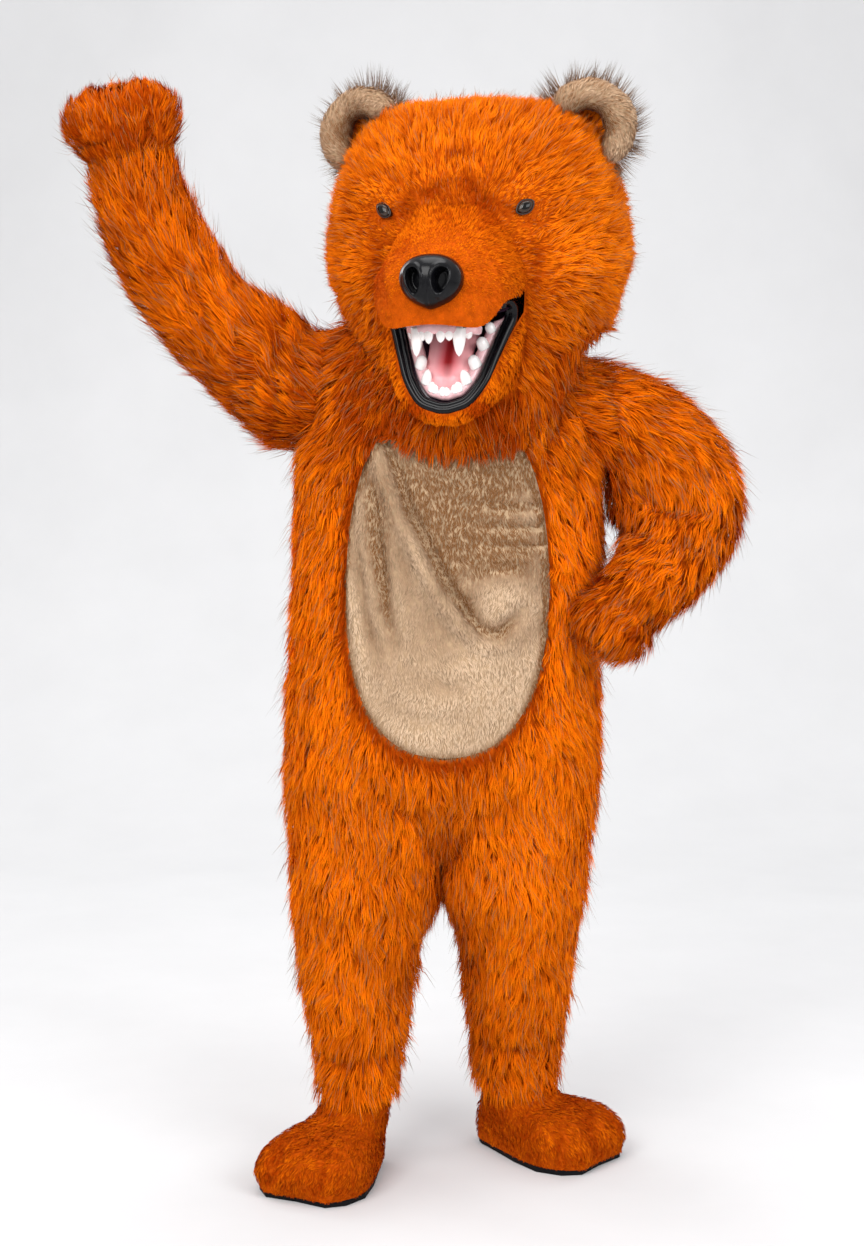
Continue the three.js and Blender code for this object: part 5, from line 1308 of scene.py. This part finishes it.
EYE = {"x": 118, "y": -190, "h": 1691, "half": 16.5, "tall": 10.5, "dome": 9, "ahead": 4,
       "tilt": 34, "side": 0.42, "lid": 1.5, "points": 48, "lid_points": 10}


def almond(a):
    """An eye's outline, pointed at its two corners."""
    return math.cos(a), math.sin(a) * abs(math.sin(a)) ** 0.35


def eyes():
    e = EYE
    spin = circle(e["points"])
    round_lid = circle(e["lid_points"])
    for name, side in SIDES.items():
        ahead = unit(np.array([side * e["side"], -1.0, 0.10]))
        level = unit(np.cross(np.array([0, 0, 1.0]), ahead)) * side
        up = unit(np.cross(ahead, level)) * side
        up *= np.sign(up[2])
        level *= np.sign(level[0] * side)
        tilt = math.radians(e["tilt"])
        along = math.cos(tilt) * level + math.sin(tilt) * up
        over = math.cos(tilt) * up - math.sin(tilt) * level
        at = np.array([side * e["x"], e["y"], e["h"]]) + ahead * e["ahead"]

        def edge(a, r=1):
            """A spot at an angle on the eye's outline, drawn in to a share r of its size."""
            x, z = almond(a)
            return at + r * (e["half"] * x * along + e["tall"] * z * over)

        rings, spots = [], []
        for r in np.linspace(0.02, 1, 16):
            dome = ahead * e["dome"] * math.sqrt(max(1 - r * r, 0))
            rings.append([edge(a, r) + dome for a in spin])
            spots += [(a / (2 * math.pi), r) for a in spin]
        rings.append([edge(a) - ahead * 5 for a in spin])
        spots += [(a / (2 * math.pi), 1) for a in spin] + [(0, 0), (0, 1)]
        lens = joined(f"eye_{name}_lens", [skin_of(rings)], "eye", f"eye_{name}")
        map_points(lens, spots)
        lid = []
        for a in spin:
            outward = unit(math.cos(a) * along + math.sin(a) * over)
            lid += [edge(a) + e["lid"] * (math.cos(b) * outward + math.sin(b) * ahead) + ahead
                    for b in round_lid]
        faces = grid_faces(e["points"], e["lid_points"], around=True, over=True)
        joined(f"eye_{name}_lid", [(lid, faces)], "lid")


EAR = {"x": 198, "y": -46, "h": 1836, "lean": 38, "swing": 16, "radius": 54, "thick": 24,
       "from": -14, "to": 206, "cup": 68, "behind": 20, "dome": 22}
EAR_SHADE = {"by": 0.4, "from": 32, "to": 56}  # painted shade on the inner side of the roll: how much, and the mm from the ear's middle over which it fades out
CUP_RINGS = (1, 0.93, 0.84, 0.72, 0.58, 0.42, 0.25, 0.1)  # shares of the cup's radius


def ear_place(side):
    """Takes points of an ear, in mm out from its middle, up its middle and forward, to the
    head's."""
    lean, swing = math.radians(EAR["lean"]), math.radians(EAR["swing"])

    def place(p):
        p = np.asarray(p, float)
        x = p[..., 0] * math.cos(lean) + p[..., 1] * math.sin(lean)
        y = -p[..., 2]
        z = p[..., 1] * math.cos(lean) - p[..., 0] * math.sin(lean)
        out = side * (EAR["x"] + x * math.cos(swing) - y * math.sin(swing))
        back = EAR["y"] + x * math.sin(swing) + y * math.cos(swing)
        return head_at(vectors(out, back, EAR["h"] + z))

    return place


def ears():
    for i, (name, side) in enumerate(SIDES.items()):
        place = ear_place(side)
        ear_roll(name, i, place)
        ear_cup(name, i, place)


def ear_roll(name, i, place):
    """The padded rim of an ear, and its plush."""
    rings = []
    for t in np.linspace(0, 1, 56):
        a = math.radians(EAR["from"] + (EAR["to"] - EAR["from"]) * t)
        thick = EAR["thick"] * math.sqrt(max(1 - (2 * t - 1) ** 6, 0.10))
        thick *= 1 + 0.05 * math.sin(11 * t + i) + 0.03 * math.sin(23 * t)
        ring = []
        for b in circle(24):
            out = EAR["radius"] + thick * math.cos(b)
            ring.append((-math.cos(a) * out, math.sin(a) * out, thick * math.sin(b)))
        rings.append(ring)
    roll = joined(f"ear_{name}_roll", [skin_of(rings)], "tan_backing",
                  f"ear_{name}_rim", place)
    middle = place((0, 0, 0))

    def lay(p):
        spin = np.cross(p - middle, place((0, 0, 1000)) - middle)
        return unit(spin) * 0.6 + unit(p - middle) * 0.5

    # Painted shade on the roll's inner side, towards the ear's middle.
    def shade(p):
        off = np.linalg.norm(p - middle, axis=1) / MM
        return EAR_SHADE["by"] * (1 - smoothstep(off, EAR_SHADE["from"], EAR_SHADE["to"]))

    grow(f"ear_{name}_roll", roll, lay, "tan_plush", "tan_plush", 230e3, 12, 1.2, rise=34,
         lean=14, pull=0.35, lock=6, guard=0, tone=(0.36, 0.10), seed=91 + i, shade=shade)


def ear_cup(name, i, place):
    """The cup of fur cloth behind an ear, and the pile on both of its sides."""
    spin = np.radians(np.arange(0, 360, 10))
    rings = [[(-math.cos(a) * EAR["cup"] * s, math.sin(a) * EAR["cup"] * s,
               -EAR["behind"] - EAR["dome"] * math.sqrt(1 - s * s)) for a in spin]
             for s in CUP_RINGS]
    cup = joined(f"ear_{name}_cup", [skin_of(rings, first=False)], "fur_backing",
                 f"ear_{name}_back", place)
    middle = place((0, 0, 0))

    def lay(p):
        return unit(p - middle) + np.array([0, 0, 0.15])

    ahead = place((0, 0, 10)) - middle
    behind = np.sign((normals_of(cup.data) @ -unit(ahead)).mean())
    fringe = dict(lay=lay, slot="long_fur", seed=95 + i)
    piles = [
        grow(f"ear_{name}_behind", cup, density=200e3, long=44, wide=1.1, rise=34, lean=20,
             guard=0.9, turned=behind, tone=(0.3, 0.16), material="tan_plush", **fringe),
        # The inside's pile is given a light tone, painted light against the shade inside the cup.
        grow(f"ear_{name}_inside", cup, density=150e3, long=34, wide=1.3, rise=66, lean=44,
             guard=0, turned=-behind, tone=(0.74, 0.14), material="long_fur", **fringe),
    ]
    area_of(cup.data)


def lining():
    skin = subdivided(outer_skin("mouth_lining", 3, inner=True), 2)
    settle(skin, "lining", "mouth_lining")
    area_of(skin.data)


def soles():
    for side in SIDES:
        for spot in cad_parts[f"foot_{side}_sole"].material_slots:
            spot.material = MATERIALS["sole"]


camera()
lights()
stage()
dress()
nose()
lips()
lower_jaw()
upper_jaw()
tongue()
eyes()
ears()
lining()
soles()
